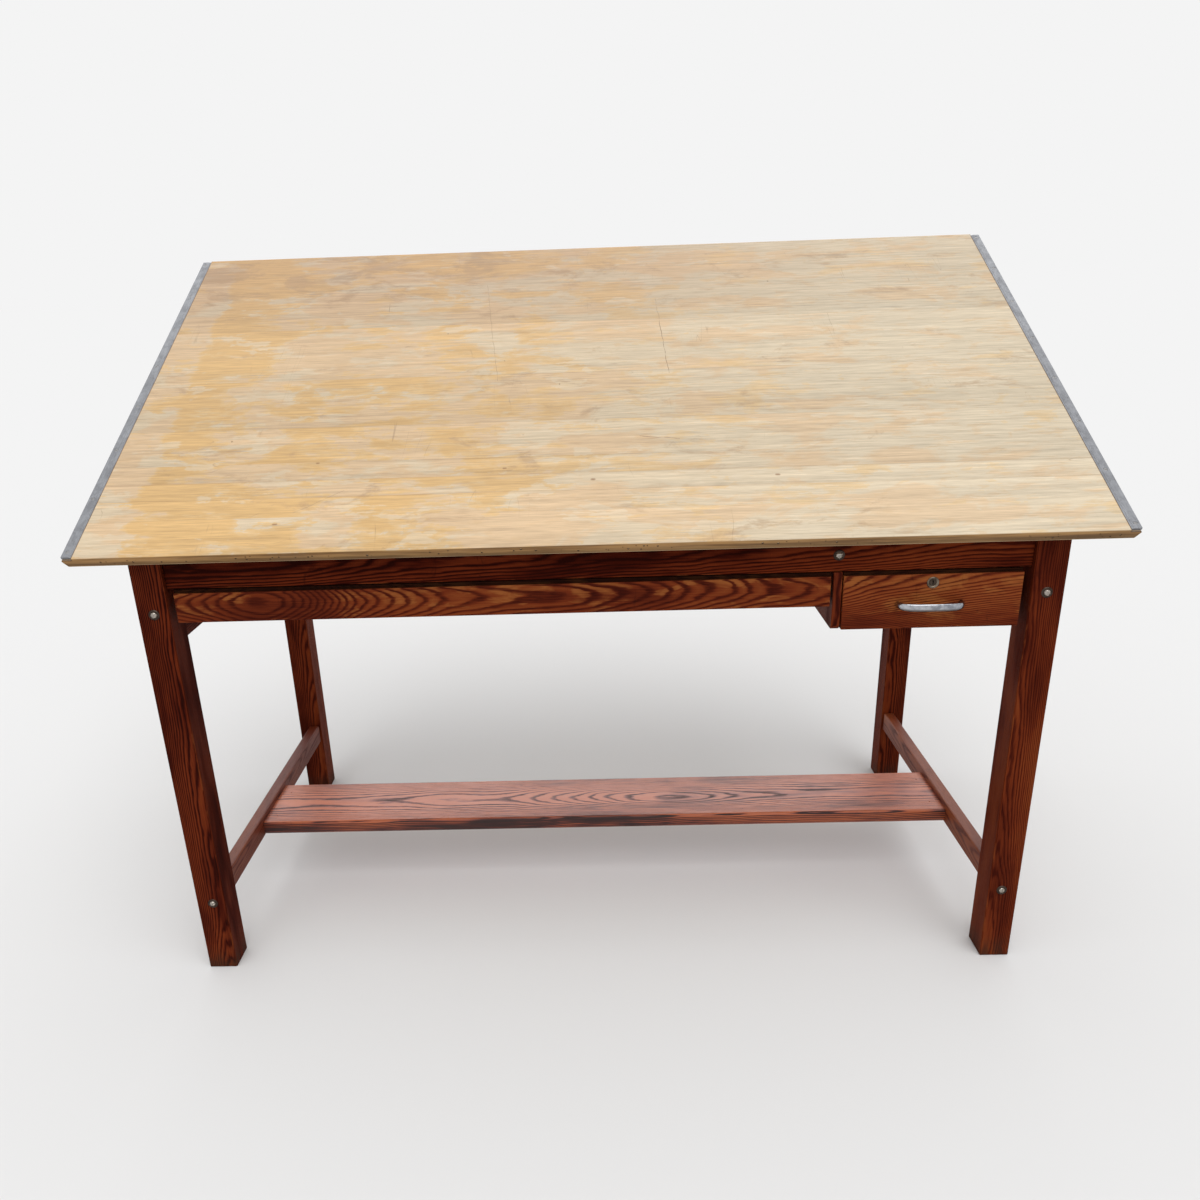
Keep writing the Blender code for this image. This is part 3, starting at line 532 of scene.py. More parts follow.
def worn_metal(name, clean, dull, rust, roughness, scratches=0.5, grain=(60.0, 60.0, 60.0),
               rusted=0.6, metallic=1.0, painted_dark_below=None):
    """Handled metal: mottled tarnish, a little rust, fine scratches."""
    graph = Graph(name)
    base = graph.place
    mottle = graph.noise(base, (55.0, 38.0, 55.0), 5.0, 0.7, 0.5)
    spots = graph.noise(base, (170.0, 150.0, 170.0), 4.0, 0.75)
    brushed = graph.noise(base, grain, 3.0, 0.6)
    colour = graph.blend(mottle.fade(0.38, 0.64), clean, dull)
    colour = graph.tinted(colour, (brushed - 0.5) * 0.5 + 1.0)
    eaten = spots.fade(0.56, 0.7) * mottle.fade(0.45, 0.6)
    colour = graph.blend(eaten * rusted, colour, rust)
    if painted_dark_below is not None:  # painted shade and dark reflection along the lower edge, in the rust colour
        height = graph.split(base)[2] - painted_dark_below + (mottle - 0.5) * 0.004
        colour = graph.blend(height.fade(0.0014, 0.006, 0.88, 0.0), colour, rust)
    rough = graph.calc("ADD", mottle * 0.3 + (roughness - 0.15), eaten * 0.3, clamp=True)
    fine = abs(brushed - 0.5).fade(0.0, 0.02, 1.0, 0.0)
    normal = graph.bump(eaten * 0.6 + fine * -scratches, 0.00008, 0.6)
    return graph.finish(colour, rough, normal, Metallic=metallic)


# -------- Mesh helpers --------

def add_object(name, data, place=None):
    piece = bpy.data.objects.new(name, data)
    bpy.context.scene.collection.objects.link(piece)
    if place is not None:
        piece.matrix_world = place
    return piece


def to_mesh(name, shape, smooth_angle):
    bmesh.ops.recalc_face_normals(shape, faces=shape.faces)
    mesh = bpy.data.meshes.new(name)
    shape.to_mesh(mesh)
    shape.free()
    mesh.shade_smooth()
    mesh.set_sharp_from_angle(angle=math.radians(smooth_angle))
    return mesh


def build(name, shape, place=None, smooth_angle=40.0):
    """A piece from a bmesh, which is used up."""
    return add_object(name, to_mesh(name, shape, smooth_angle), place)


def set_material(piece, material):
    piece.data.materials.clear()
    piece.data.materials.append(material)


def settle(piece):
    """Apply the piece's modifiers and keep the result as its mesh."""
    bpy.context.view_layer.update()
    evaluated = piece.evaluated_get(bpy.context.evaluated_depsgraph_get())
    mesh = bpy.data.meshes.new_from_object(evaluated)
    piece.modifiers.clear()
    piece.data = mesh
    return piece


def ease(piece, width, segments=3, angle=35.0):
    bevel = piece.modifiers.new("eased_edges", "BEVEL")
    bevel.width = width
    bevel.segments = segments
    bevel.limit_method = "ANGLE"
    bevel.angle_limit = math.radians(angle)
    return piece


def even_shading(piece, smooth_angle=38.0):
    """Flat faces shade flat and only the narrow rounded faces between them shade round."""
    piece.data.shade_smooth()
    piece.data.set_sharp_from_angle(angle=math.radians(smooth_angle))
    steady = piece.modifiers.new("steady_shading", "WEIGHTED_NORMAL")
    steady.weight = 100
    steady.keep_sharp = True
    return settle(piece)


def cut(piece, tools):
    """Cut tools out of the piece, then remove them."""
    for tool in tools:
        change = piece.modifiers.new("cut", "BOOLEAN")
        change.operation = "DIFFERENCE"
        change.solver = "EXACT"
        change.object = tool
    settle(piece)
    for tool in tools:
        bpy.data.objects.remove(tool, do_unlink=True)
    return even_shading(piece)


def box_shape(low, high):
    shape = bmesh.new()
    bmesh.ops.create_cube(shape, size=1.0)
    low, high = Vector(low), Vector(high)
    bmesh.ops.scale(shape, vec=high - low, verts=shape.verts)
    bmesh.ops.translate(shape, vec=(low + high) / 2.0, verts=shape.verts)
    return shape


def ring(shape, radius, height, steps):
    """Points around Z, or one point where the radius is 0."""
    return [shape.verts.new((radius * math.cos(math.tau * step / steps),
                             radius * math.sin(math.tau * step / steps), height))
            for step in range(steps if radius else 1)]


def join_rings(shape, rings):
    """Faces between each ring of points and the next."""
    for first, second in zip(rings, rings[1:]):
        steps = max(len(first), len(second))
        for step in range(steps):
            after = (step + 1) % steps
            corners = [first[step % len(first)], first[after % len(first)],
                       second[after % len(second)], second[step % len(second)]]
            shape.faces.new(list(dict.fromkeys(corners)))


def turned_shape(profile, steps=32, closed=False):
    """A profile of (radius, height) points in metres turned about Z; radius 0 closes an end."""
    shape = bmesh.new()
    rings = [ring(shape, radius, height, steps) for radius, height in profile]
    join_rings(shape, rings + rings[:1] if closed else rings)
    return shape


def facing(direction, spot, spin=0.0):
    """A placement whose Z points along direction at the spot, spun about it."""
    turn = UP.rotation_difference(Vector(direction)).to_matrix().to_4x4()
    return Matrix.Translation(Vector(spot)) @ turn @ Matrix.Rotation(spin, 4, "Z")


def follow(piece, node, material):
    """The piece gets the material and rides with the node's body."""
    set_material(piece, material)
    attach(piece, frame["nodes"][node]["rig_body"])


def stand_for(piece, node, material):
    """The piece is shown in the node's place."""
    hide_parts(node)
    follow(piece, node, material)


def refined(node, material, smooth_angle, bevel=0.0, place=None):
    """The node's own shape with its triangles merged, flat areas joined and edges softened."""
    shape = bmesh.new()
    shape.from_mesh(frame["nodes"][node].data)
    if place is not None:  # so that the grain runs in this placement's directions
        shape.transform(place.inverted())
    bmesh.ops.remove_doubles(shape, verts=shape.verts, dist=2e-6)
    bmesh.ops.dissolve_limit(shape, angle_limit=math.radians(0.4), verts=shape.verts, edges=shape.edges)
    piece = build(node + "_finished", shape, None, smooth_angle)
    if bevel:
        ease(piece, bevel, 2, smooth_angle)
    settle(piece)
    if place is not None:
        piece.matrix_world = place
    stand_for(even_shading(piece, smooth_angle), node, material)


def along_x(y, z, x):
    return x, y, z


def along_y(x, z, y):
    return x, y, z


def prism_shape(outline, start, end, place):
    """A closed outline extruded from start to end, along_x or along_y."""
    shape = bmesh.new()
    near = [shape.verts.new(place(*point, start)) for point in outline]
    far = [shape.verts.new(place(*point, end)) for point in outline]
    shape.faces.new(near)
    shape.faces.new(list(reversed(far)))
    for number in range(len(outline)):
        after = (number + 1) % len(outline)
        shape.faces.new([near[number], near[after], far[after], far[number]])
    return shape


def swept_shape(path, sections, across, steps):
    """Oval sections along a path; each is (half width along across, half thickness)."""
    shape = bmesh.new()
    rings = []
    for number, (point, (wide, thick)) in enumerate(zip(path, sections)):
        ahead = path[min(number + 1, len(path) - 1)] - path[max(number - 1, 0)]
        out = ahead.cross(across).normalized()
        rings.append([shape.verts.new(point + across * (wide * math.cos(math.tau * step / steps))
                                      + out * (thick * math.sin(math.tau * step / steps)))
                      for step in range(steps)])
    join_rings(shape, rings)
    shape.faces.new(list(reversed(rings[0])))
    shape.faces.new(rings[-1])
    return shape


def screw_mesh(name, radius, rise, slot_width, slot_depth, sunk=0.4):
    """A slotted screw head, its top rise above the surface and its edge sunk below it (mm)."""
    bottom, dome_steps = -sunk - 1.2, 6
    profile = [(0.0, bottom), (radius * 0.7, bottom), (radius, -sunk)]
    for step in range(dome_steps):
        angle = math.pi / 2.0 * (step + 1) / dome_steps
        profile.append((radius * math.cos(angle), rise * math.sin(angle)))
    profile = [(r * MM if r > 1e-6 else 0.0, h * MM) for r, h in profile]
    head = build(name, turned_shape(profile, 24), None, 50.0)
    reach = radius * 1.2 * MM
    slot = box_shape((-reach, -slot_width / 2.0 * MM, (rise - slot_depth) * MM),
                     (reach, slot_width / 2.0 * MM, (rise + 1.0) * MM))
    cut(head, [build("slot", slot)])
    mesh = head.data
    bpy.data.objects.remove(head, do_unlink=True)
    return mesh


def place_screws(mesh, label, spots, direction, node, material, within=None):
    """Copies of one screw mesh at the spots, each turned by chance, riding with a node's body."""
    for number, spot in enumerate(spots):
        place = facing(direction, spot, chance.uniform(0.0, math.pi))
        if within is not None:
            place = within @ place
        follow(add_object(f"{label}_{number + 1}", mesh, place), node, material)


def box_of(node):
    low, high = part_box(node)
    return low, high, (low + high) / 2.0


def drilled(piece, holes):
    """Cut holes, each a turned profile and its placement."""
    return cut(piece, [build("hole", turned_shape(profile), place) for profile, place in holes])


# -------- The oak frame --------

def timber(node, along, heart, drift, seed, ease_mm, holes=(), **look):
    """A sawn and eased bar over a CAD node, with its own grain."""
    low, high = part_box(node)
    piece = drilled(ease(build(node + "_timber", box_shape(low, high)), ease_mm * MM, 4), holes)
    stand_for(piece, node, stained_oak("oak_" + node, node, along, heart, drift, seed, **look))


def bore(radius, reach):
    """The profile of a cutter for a round hole, reaching both ways."""
    return [(0.0, -reach), (radius, -reach), (radius, reach), (0.0, reach)]


def bolt_hole(node, end):
    """The hole for a bolt's shank, at the front (-1) or back (1) end of the bolt."""
    low, high, centre = box_of(node)
    spot = (centre.x, low.y if end < 0 else high.y, centre.z)
    return bore(3.8 * MM, high.y - low.y), facing(BACKWARD, spot)


def rounded(corners):
    """An outline from (a, b, radius) corners, each rounded by its own radius."""
    outline = []
    steps = 6
    for number, (a, b, radius) in enumerate(corners):
        spot = Vector((a, b))
        before = (Vector(corners[number - 1][:2]) - spot).normalized()
        after = (Vector(corners[(number + 1) % len(corners)][:2]) - spot).normalized()
        middle = spot + (before + after) * radius
        first, last = spot + before * radius - middle, spot + after * radius - middle
        for step in range(steps + 1):
            share = step / steps * math.pi / 2.0
            outline.append(tuple(middle + first * math.cos(share) + last * math.sin(share)))
    return outline


def make_footboard():
    """A plank whose front edge is worn round, nailed near its ends."""
    low, high, _ = box_of("footboard")
    corners = [(low.y, low.z, 9.0 * MM), (high.y, low.z, 1.5 * MM), (high.y, high.z, 2.5 * MM),
               (low.y, high.z, 6.5 * MM)]
    plank = build("footboard_plank", prism_shape(rounded(corners), low.x, high.x, along_x))
    nails = [small_cutter(1.6 * MM, 2.0 * MM, (x, low.y + y, high.z), UP)
             for x, y in ((low.x + 0.022, 0.03), (low.x + 0.024, 0.128), (high.x - 0.024, 0.034),
                          (high.x - 0.021, 0.131))]
    cut(plank, [joined(nails, "nails")])
    eye = ((0.13, -0.012, 0.0156), (0.2, 0.06, 1.0), -0.017)
    # painted shade on the footboard's front face
    oak = stained_oak("oak_footboard", "footboard", "x", (0.0, -0.075), (0.0, 0.01), 47, tone=0.82,
                      spacing=2.9, eye=eye, sheen=0.58, gloss_floor=0.3, contrast=2.4,
                      tones=FOOT_TONES, painted_front_shade=0.45)
    stand_for(plank, "footboard", oak)


LEG_TONES = {"front_left": 0.33, "front_right": 0.53, "rear_left": 0.41, "rear_right": 0.34}


def make_frame():
    ends = (("front", -1), ("rear", 1))
    for row, end in ends:
        for number, (side, sign) in enumerate(SIDES):
            holes = [bolt_hole(f"bolt_{row}_{side}_{level}", end) for level in ("upper", "lower")]
            # painted shade towards each leg's top, under the board, strongest on the front left leg
            timber(f"leg_{row}_{side}", "z", (sign * -0.03, 0.05), (sign * -0.016, 0.01),
                   11 + 3 * number + (5 if end > 0 else 0), 2.6, holes,
                   tone=LEG_TONES[f"{row}_{side}"], spacing=1.7, foot_dirt=True, sheen=0.03,
                   slope=-0.26 if (row, side) == ("front", "left") else -0.06)
    for number, (side, _) in enumerate(SIDES):
        upper, lower = [[bolt_hole(f"bolt_{row}_{side}_{level}", end) for row, end in ends]
                        for level in ("upper", "lower")]
        timber(f"side_apron_{side}", "y", (0.02, 0.07), (0.01, 0.03), 31 + number, 1.8, upper,
               tone=0.34, spacing=3.8)
        timber(f"stretcher_{side}", "y", (0.012, 0.05), (0.01, 0.02), 37 + number, 4.0, lower,
               tone=0.66, spacing=2.4, sheen=0.26, gloss_floor=0.36)
    # painted shade darkens the front rail towards its left end
    timber("front_rail", "x", (0.11, 0.02), (0.012, 0.01), 43, 1.8, [bolt_hole("bolt_front_rail", -1)],
           tone=0.32, spacing=1.7, slope=0.14, sheen=0.02, wander=6.0, contrast=0.95)
    timber("rear_rail", "x", (-0.05, 0.03), (0.03, 0.03), 45, 1.8, tone=0.36, spacing=3.8, sheen=0.03)
    make_footboard()
    oak = stained_oak("oak_partition", "partition", "z", (0.05, 0.03), (0.01, 0.02), 49,
                      tone=0.41, spacing=2.2)
    refined("partition", oak, 50.0)


# -------- Drawing board --------

STRIP_WIDTH = 18.0 * MM
STRIP_THICK = 5.0 * MM
STRIP_SHORT = 4.0 * MM
CLEARANCE = 0.3 * MM
FRONT_PITS = 80
PIT_CLUSTERS = (-0.8, -0.52, -0.21, 0.02, 0.36, 0.83)
SURFACE_HOLES = ((-0.68, 0.427), (-0.174, 0.497), (-0.128, 0.262), (0.402, 0.761), (-0.06, 0.414),
                 (-0.687, 0.268), (0.64, 0.5), (-0.3, 0.6))


def small_cutter(radius, depth, spot, direction):
    """A shallow cone that leaves a pit or a nail hole."""
    profile = [(0.0, -depth), (radius * 0.55, -depth * 0.8), (radius, 0.0), (radius * 1.1, depth),
               (0.0, depth)]
    return build("pit", turned_shape(profile, 9), facing(direction, spot))


def joined(objects, name):
    """One mesh object from several, for cutting them all at once."""
    shape = bmesh.new()
    for item in objects:
        mesh = item.data.copy()
        mesh.transform(item.matrix_world)
        shape.from_mesh(mesh)
        bpy.data.objects.remove(item, do_unlink=True)
    mesh = bpy.data.meshes.new(name)
    shape.to_mesh(mesh)
    shape.free()
    return add_object(name, mesh)


def panel_outline():
    rebate = PANEL_HALF - STRIP_WIDTH - CLEARANCE
    shelf = PANEL_TOP - STRIP_THICK - CLEARANCE
    right = [(PANEL_HALF - 0.0065, PANEL_UNDERSIDE), (PANEL_HALF, PANEL_UNDERSIDE + 0.013),
             (PANEL_HALF, shelf), (rebate, shelf), (rebate, PANEL_TOP)]
    return right + [(-x, z) for x, z in reversed(right)]


def make_panel():
    front, back = -PANEL_OVERHANG, PANEL_DEPTH - PANEL_OVERHANG
    panel = build("drawing_board", prism_shape(panel_outline(), front, back, along_y))
    settle(ease(panel, 0.0016, 4, 50.0))
    wide = PANEL_HALF - STRIP_WIDTH - 0.0015
    above, below = PANEL_TOP + 0.0002, PANEL_TOP - 0.00045
    grooves = []
    for seam in PLANK_SEAMS:
        outline = [(seam - 0.0003, above), (seam + 0.0003, above), (seam, below)]
        grooves.append(build("groove", prism_shape(outline, -wide, wide, along_x)))
    pits, taken = [], []
    for _ in range(FRONT_PITS):
        cluster = chance.choice(PIT_CLUSTERS)
        x = max(-0.9, min(0.9, cluster + chance.gauss(0.0, 0.075)))
        radius = chance.uniform(0.0006, 0.0023)
        z = chance.uniform(0.009, 0.019)
        if all(math.hypot(x - other[0], z - other[1]) > 1.3 * (radius + other[2]) for other in taken):
            taken.append((x, z, radius))
            pits.append(small_cutter(radius, radius * 1.1, (x, front, z), -BACKWARD))
    for x, y in SURFACE_HOLES:
        radius = chance.uniform(0.001, 0.0017)
        pits.append(small_cutter(radius, 0.004, (x, y, PANEL_TOP), UP))
    cut(panel, [joined(grooves, "grooves")])
    cut(panel, [joined(pits, "pits")])
    panel.matrix_world = BOARD_PLACE
    stand_for(panel, "board_panel", panel_wood("board_panel_wood"))


def make_edge_strip(side, sign, material, screw_material, screw):
    """A steel straight-edge strip: flat outer land, lower inner lip, countersunk screws."""
    outer, inner = PANEL_HALF, PANEL_HALF - STRIP_WIDTH
    bottom = PANEL_TOP - STRIP_THICK
    lip = PANEL_TOP - 0.0009
    outline = [(inner, bottom), (outer, bottom), (outer, PANEL_TOP), (inner + 0.0042, PANEL_TOP),
               (inner + 0.0036, lip), (inner, lip)]
    outline = [(sign * x, z) for x, z in outline]
    front, back = STRIP_SHORT - PANEL_OVERHANG, PANEL_DEPTH - PANEL_OVERHANG - STRIP_SHORT
    node = f"steel_edge_{side}"
    strip = build(node + "_strip", prism_shape(outline, front, back, along_y))
    settle(ease(strip, 0.00045, 2, 40.0))
    middle = sign * (inner + 0.0108)
    spots = [(middle, front + 0.012 + (back - front - 0.024) * step / 7.0, PANEL_TOP) for step in range(8)]
    profile = [(0.0, -0.0022), (0.002, -0.0022), (0.0042, 0.0), (0.0052, 0.001), (0.0, 0.001)]
    sinks = [build("sink", turned_shape(profile, 24), facing(UP, spot)) for spot in spots]
    cut(strip, [joined(sinks, "sinks")])
    strip.matrix_world = BOARD_PLACE
    stand_for(strip, node, material)
    spots = [(x, y, z - 0.0006) for x, y, z in spots]
    place_screws(screw, f"edge_screw_{side}", spots, UP, node, screw_material, BOARD_PLACE)


def make_cleats(wood, screw_material, screw):
    for side, sign in SIDES:
        node = f"board_cleat_{side}"
        refined(node, wood, 50.0, place=BOARD_PLACE)
        z = PANEL_UNDERSIDE - CLEARANCE - 0.021
        spots = [(sign * 0.3 + (0.012 if number % 2 else -0.012), y, z)
                 for number, y in enumerate((0.095, 0.25, 0.41, 0.56, 0.66))]
        place_screws(screw, f"cleat_screw_{side}", spots, -UP, node, screw_material, BOARD_PLACE)


def make_board():
    steel = worn_metal("strip_steel", (0.265, 0.272, 0.29), (0.205, 0.21, 0.225), (0.15, 0.125, 0.11),
                       0.5, 0.4, (420.0, 14.0, 420.0), 0.45, 0.75)
    heads = worn_metal("strip_screw_steel", (0.33, 0.33, 0.335), (0.2, 0.19, 0.18), (0.1, 0.06, 0.04),
                       0.42, metallic=0.8)
    brass = worn_metal("cleat_screw_steel", (0.24, 0.21, 0.16), (0.11, 0.09, 0.07), (0.07, 0.03, 0.015), 0.4)
    make_panel()
    flush = screw_mesh("flush_screw", 3.6, 0.35, 0.8, 0.8)
    for side, sign in SIDES:
        make_edge_strip(side, sign, steel, heads, flush)
    cleat_wood = plain_wood("cleat_wood", "y", (0.5, 0.36, 0.2), (0.27, 0.165, 0.08), 3)
    make_cleats(cleat_wood, brass, screw_mesh("cleat_screw", 4.4, 1.6, 0.9, 1.0))


# -------- Drawers, lock and handle --------

def drawer_front(node, seed, heart, drift, holes, **look):
    """A drawer front whose top edge steps up behind, under the rail."""
    low, high, _ = box_of(node)
    step_y, step_z = low.y + 6.0 * MM, high.z - 5.2 * MM
    outline = [(low.y, low.z), (high.y, low.z), (high.y, high.z), (step_y, high.z), (step_y, step_z),
               (low.y, step_z)]
    piece = build(node + "_board", prism_shape(outline, low.x, high.x, along_x))
    piece = drilled(ease(piece, 1.5 * MM, 4), holes)
    # painted shade above the step, in the hollow under the rail
    oak = stained_oak("oak_" + node, node, "x", heart, drift, seed, painted_shade_above=step_z, **look)
    stand_for(piece, node, oak)


def make_drawers():
    lock = box_of("lock_barrel")[2]
    face_y = box_of("tool_drawer_front")[0].y
    hole = (bore(0.0093, 0.04), facing(BACKWARD, (lock.x, face_y, lock.z)))
    swirl = ((-0.42, 0.0, 0.0), (0.15, 0.06, 1.0), -0.022)
    drawer_front("plan_drawer_front", 61, (0.085, 0.004), (0.04, 0.006), (), eye=swirl,
                 tone=0.55, spacing=2.2, wander=8.0, amber=0.5, slope=-0.05)
    drawer_front("tool_drawer_front", 67, (0.06, 0.055), (0.05, 0.04), [hole],
                 tone=0.66, spacing=2.7, wander=12.0, amber=0.45, contrast=1.25)
    pale, dark = (0.42, 0.27, 0.135), (0.2, 0.115, 0.055)
    looks = {"x": plain_wood("drawer_wood_across", "x", pale, dark, 5),
             "y": plain_wood("drawer_wood_deep", "y", pale, dark, 8)}
    iron = worn_metal("nail_iron", (0.14, 0.13, 0.12), (0.07, 0.06, 0.055), (0.08, 0.035, 0.018), 0.5)
    nail = screw_mesh("nail", 1.5, 0.25, 0.3, 0.1)
    for kind in ("plan_drawer", "tool_drawer"):
        refined(f"{kind}_bottom", looks["x"], 40.0)
        refined(f"{kind}_back", looks["x"], 40.0, 0.0006)
        for side, sign in SIDES:
            node = f"{kind}_side_{side}"
            refined(node, looks["y"], 40.0, 0.0006)
            low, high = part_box(node)
            outer = low.x if sign < 0 else high.x
            spots = [(outer, y, z) for y in (high.y - 0.006, low.y + 0.006)
                     for z in (low.z + 0.006, high.z - 0.006)]
            place_screws(nail, f"{kind}_nail_{side}", spots, (sign, 0.0, 0.0), node, iron)
        for side, _ in SIDES:
            refined(f"{kind.split('_')[0]}_runner_{side}", looks["y"], 40.0, 0.0006)


def make_lock():
    nickel = worn_metal("lock_nickel", (0.2, 0.16, 0.122), (0.075, 0.055, 0.04), (0.05, 0.025, 0.015),
                        0.3)
    plug_nickel = worn_metal("lock_plug_nickel", (0.075, 0.055, 0.042), (0.035, 0.025, 0.018),
                             (0.03, 0.015, 0.01), 0.42)
    low, high, centre = box_of("lock_barrel")
    length = high.y - low.y
    flange, barrel, mouth = 0.0105, 0.009, 0.0063
    outline = [(mouth, length), (barrel, length), (barrel, 0.0015), (flange, 0.0015), (flange, 0.0009),
               (flange - 0.0007, 0.0002), (flange - 0.0016, 0.0), (flange - 0.0026, 0.0004),
               (mouth + 0.0007, 0.0009), (mouth, 0.0014)]
    shell = build("lock_barrel_shell", turned_shape(outline, 40, closed=True),
                  facing(BACKWARD, (centre.x, low.y, centre.z)), 35.0)
    stand_for(shell, "lock_barrel", nickel)
    low, high, centre = box_of("lock_plug")
    length = high.y - low.y
    profile = [(0.0, length), (0.006, length), (0.006, 0.0013), (0.0056, 0.0009), (0.0, 0.0009)]
    plug = build("lock_plug_core", turned_shape(profile, 40), None, 35.0)
    keyway = [box_shape((-0.0007, -0.004, -0.001), (0.0007, 0.0036, 0.011)),
              box_shape((-0.0015, -0.004, -0.001), (0.0015, -0.0022, 0.011))]
    cut(plug, [build("keyway", shape) for shape in keyway])
    plug.matrix_world = facing(BACKWARD, (centre.x, low.y, centre.z))
    stand_for(plug, "lock_plug", plug_nickel)
    refined("lock_cam", nickel, 32.0, 0.0004)


def make_handle():
    """A chromed bow: flat and wide in the middle, thicker where it meets the drawer front."""
    # painted shade and dark reflection along the handle's lower edge
    chrome = worn_metal("handle_chrome", (0.46, 0.47, 0.5), (0.24, 0.25, 0.28), (0.1, 0.075, 0.06), 0.11,
                        0.12, (30.0, 400.0, 400.0), 0.3, painted_dark_below=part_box("handle")[0].z)
    low, high, centre = box_of("handle")
    base, reach = high.y, high.y - low.y
    half = (high.x - low.x) / 2.0
    path, sections = [], []
    steps = 48
    for step in range(steps + 1):
        angle = math.pi * step / steps
        middle = math.sin(angle)
        x = -(half - 0.0046) * math.copysign(abs(math.cos(angle)) ** 0.62, math.cos(angle))
        y = base - (reach - 0.003) * middle ** 0.62
        path.append(Vector((centre.x + x, y, centre.z)))
        swell = max(0.0, 1.0 - middle * 2.6)
        sections.append(((6.9 - 1.0 * swell) * MM * (0.86 + 0.14 * middle), (2.9 + 1.7 * swell) * MM))
    stand_for(build("handle_bow", swept_shape(path, sections, UP, 28), None, 50.0), "handle", chrome)


# -------- Bolts, hinges and the elevating gear --------

def make_bolts(dark, bright):
    """Every frame bolt is a slotted oval head in a pressed cup washer, on its shank."""
    cup = [(0.0, 0.0), (0.01, 0.0), (0.01, 0.0006), (0.0092, 0.0015), (0.008, 0.0021), (0.007, 0.0022),
           (0.0062, 0.0016), (0.0, 0.0016)]
    cup_mesh = to_mesh("cup_washer", turned_shape([(r, h - 0.0004) for r, h in cup], 36), 35.0)
    head_mesh = screw_mesh("oval_head", 5.6, 3.9, 1.5, 2.3, -1.4)
    head_rise = 4.4 * MM  # from the wood to the end of the CAD bolt
    nodes = [f"bolt_{row}_{side}_{level}" for row in ("front", "rear") for side, _ in SIDES
             for level in ("upper", "lower")] + ["bolt_front_rail"]
    for node in nodes:
        low, high, centre = box_of(node)
        out = 1.0 if node.startswith("bolt_rear") else -1.0
        surface = high.y - head_rise if out > 0 else low.y + head_rise
        spin = chance.uniform(0.0, math.pi)
        place = facing(BACKWARD * out, (centre.x, surface, centre.z), spin)
        length = (high.y - low.y) - head_rise
        shank = turned_shape([(0.0, 0.0002), (0.0035, 0.0002), (0.0035, -length), (0.0, -length)], 20)
        shank_mesh = to_mesh("shank", shank, 40.0)
        shape = bmesh.new()
        shape.from_mesh(head_mesh)
        shape.from_mesh(shank_mesh)
        mesh = bpy.data.meshes.new(node + "_body")
        shape.to_mesh(mesh)
        shape.free()
        mesh.set_sharp_from_angle(angle=math.radians(40.0))
        stand_for(add_object(node + "_body", mesh, place), node, bright)
        follow(add_object(node + "_cup", cup_mesh, place), node, dark)


CLEVIS_SCREWS = (0.0155, 0.0145)  # either side of the rod's pivot, in x and y
CLEVIS_SCREW_RISE = 0.0172  # from the pivot to the screws' heads
BRACKET_SCREW = 0.0195  # either side of the clamp's pivot, in y and z
BRACKET_FACE = 0.0187  # from the pivot to the bracket's face


def pairs(x, y):
    return [(a, b) for a in (-x, x) for b in (-y, y)]


def make_gear(steel, bright, rod_steel, screw):
    finishes = (("hinge_leaf_rail", steel, 0.0, None), ("clamp_block", steel, 0.0, None),
                ("hinge_leaf_board", steel, 0.0, BOARD_PLACE), ("hinge_pin", bright, 0.0, None),
                ("elevating_rod", rod_steel, 0.0, None), ("clevis", steel, 0.0005, BOARD_PLACE),
                ("clamp_bracket", steel, 0.0005, None), ("thumb_screw", steel, 0.0005, None))
    for side, sign in SIDES:
        for name, metal, bevel, place in finishes:
            refined(f"{name}_{side}", metal, 32.0, bevel, place)
        pin = BOARD_PLACE.inverted() @ Vector(joint(f"rod_{side}_pivot")["pos_m"])
        spots = [(pin.x + x, pin.y + y, pin.z + CLEVIS_SCREW_RISE) for x, y in pairs(*CLEVIS_SCREWS)]
        place_screws(screw, f"clevis_screw_{side}", spots, -UP, f"clevis_{side}", bright, BOARD_PLACE)
        clamp = Vector(joint(f"clamp_{side}_swivel")["pos_m"])
        face = clamp.x + sign * BRACKET_FACE
        spots = [(face, clamp.y + y, clamp.z + z) for y, z in pairs(BRACKET_SCREW, BRACKET_SCREW)]
        place_screws(screw, f"bracket_screw_{side}", spots, (-sign, 0.0, 0.0), f"clamp_bracket_{side}",
                     bright)


def make_hardware():
    dark = worn_metal("dark_iron", (0.062, 0.044, 0.035), (0.028, 0.018, 0.013), (0.05, 0.018, 0.008), 0.4)
    bright = worn_metal("worn_steel", (0.46, 0.42, 0.37), (0.2, 0.165, 0.135), (0.08, 0.035, 0.018), 0.24)
    make_bolts(dark, bright)
    rod_steel = worn_metal("rod_steel", (0.3, 0.275, 0.25), (0.17, 0.145, 0.125), (0.09, 0.045, 0.025),
                           0.34, 0.3, (14.0, 14.0, 260.0), 0.4)
    make_gear(dark, bright, rod_steel, screw_mesh("round_screw", 2.9, 1.4, 0.8, 0.8, 0.2))


make_frame()
make_board()
make_drawers()
make_lock()
make_handle()
make_hardware()

# -------- Stage --------

CAMERA_SPOT = (0.00757, -1.87591, 1.30611)
CAMERA_YAW = math.radians(-1.5986)
CAMERA_PITCH = math.radians(19.3721)
CAMERA_ROLL = math.radians(2.0021)
CAMERA_LENS = 26.95
CAMERA_SHIFT = (0.0206, 0.0019)


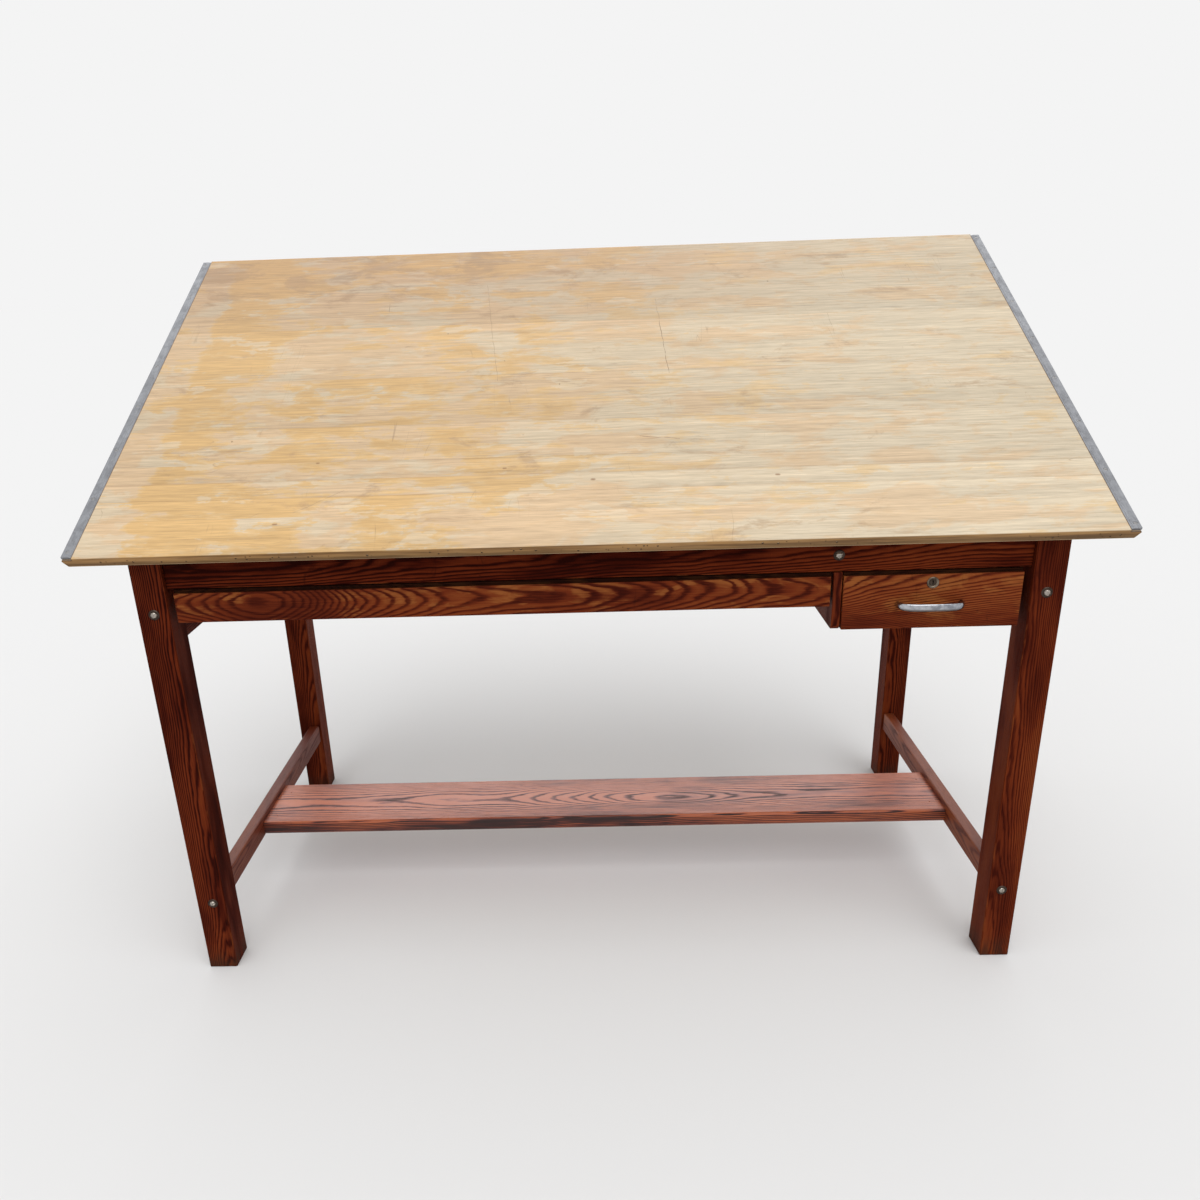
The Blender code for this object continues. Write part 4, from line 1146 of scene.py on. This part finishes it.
def make_camera():
    data = bpy.data.cameras.new("photo_camera")
    data.lens = CAMERA_LENS
    data.sensor_width = 36.0
    data.shift_x, data.shift_y = CAMERA_SHIFT
    camera = add_object("photo_camera", data)
    turn = Matrix.Rotation(-CAMERA_YAW, 4, "Z") @ Matrix.Rotation(math.pi / 2.0 - CAMERA_PITCH, 4, "X")
    camera.matrix_world = (Matrix.Translation(Vector(CAMERA_SPOT)) @ turn
                           @ Matrix.Rotation(-CAMERA_ROLL, 4, "Z"))
    bpy.context.scene.camera = camera


PAPER = 0.9047  # the grey level of the background, before the display curve
KEY_LIGHT = 1.15  # W/m2 on a surface square to the light
KEY_HEIGHT = math.radians(62.0)
BACK_LIGHT = 0.62
BACK_HEIGHT = math.radians(38.0)
BACK_AZIMUTHS = (154.0, 180.0, 206.0)


def soft_sun(name, azimuth, height, strength, spread):
    """A wide, distant light; azimuth is measured from the front towards the right."""
    data = bpy.data.lights.new(name, "SUN")
    data.energy = strength
    data.angle = math.radians(spread)
    light = add_object(name, data)
    turn = math.radians(azimuth)
    toward = Matrix.Rotation(turn, 3, "Z") @ Vector((0.0, -math.cos(height), math.sin(height)))
    light.matrix_world = facing(toward, toward * 5.0)
    return light


def make_stage():
    """A pale floor that meets an evenly lit background of the same grey."""
    floor = add_object("floor", bpy.data.meshes.new("floor"))
    shape = bmesh.new()
    bmesh.ops.create_circle(shape, cap_ends=True, segments=64, radius=400.0)
    shape.to_mesh(floor.data)
    shape.free()
    level = PAPER / (PAPER + KEY_LIGHT * math.sin(KEY_HEIGHT) / math.pi)
    paper = Graph("floor_paper").finish((level, level, level, 1.0), 1.0, Specular_IOR_Level=0.0)
    set_material(floor, paper)
    world = bpy.data.worlds.new("studio")
    world.use_nodes = True
    back = world.node_tree.nodes["Background"]
    back.inputs["Color"].default_value = (1.0, 1.0, 1.0, 1.0)
    back.inputs["Strength"].default_value = PAPER
    bpy.context.scene.world = world
    soft_sun("key", 15.0, KEY_HEIGHT, KEY_LIGHT, 50.0)
    # the lights behind the table leave the floor alone
    spared = bpy.data.collections.new("spared_by_back_lights")
    spared.objects.link(floor)
    spared.collection_objects[0].light_linking.link_state = "EXCLUDE"
    for number, azimuth in enumerate(BACK_AZIMUTHS):
        light = soft_sun(f"back_{number + 1}", azimuth, BACK_HEIGHT, BACK_LIGHT, 40.0)
        light.light_linking.receiver_collection = spared
    bpy.context.scene.view_settings.view_transform = "Standard"


make_camera()
make_stage()
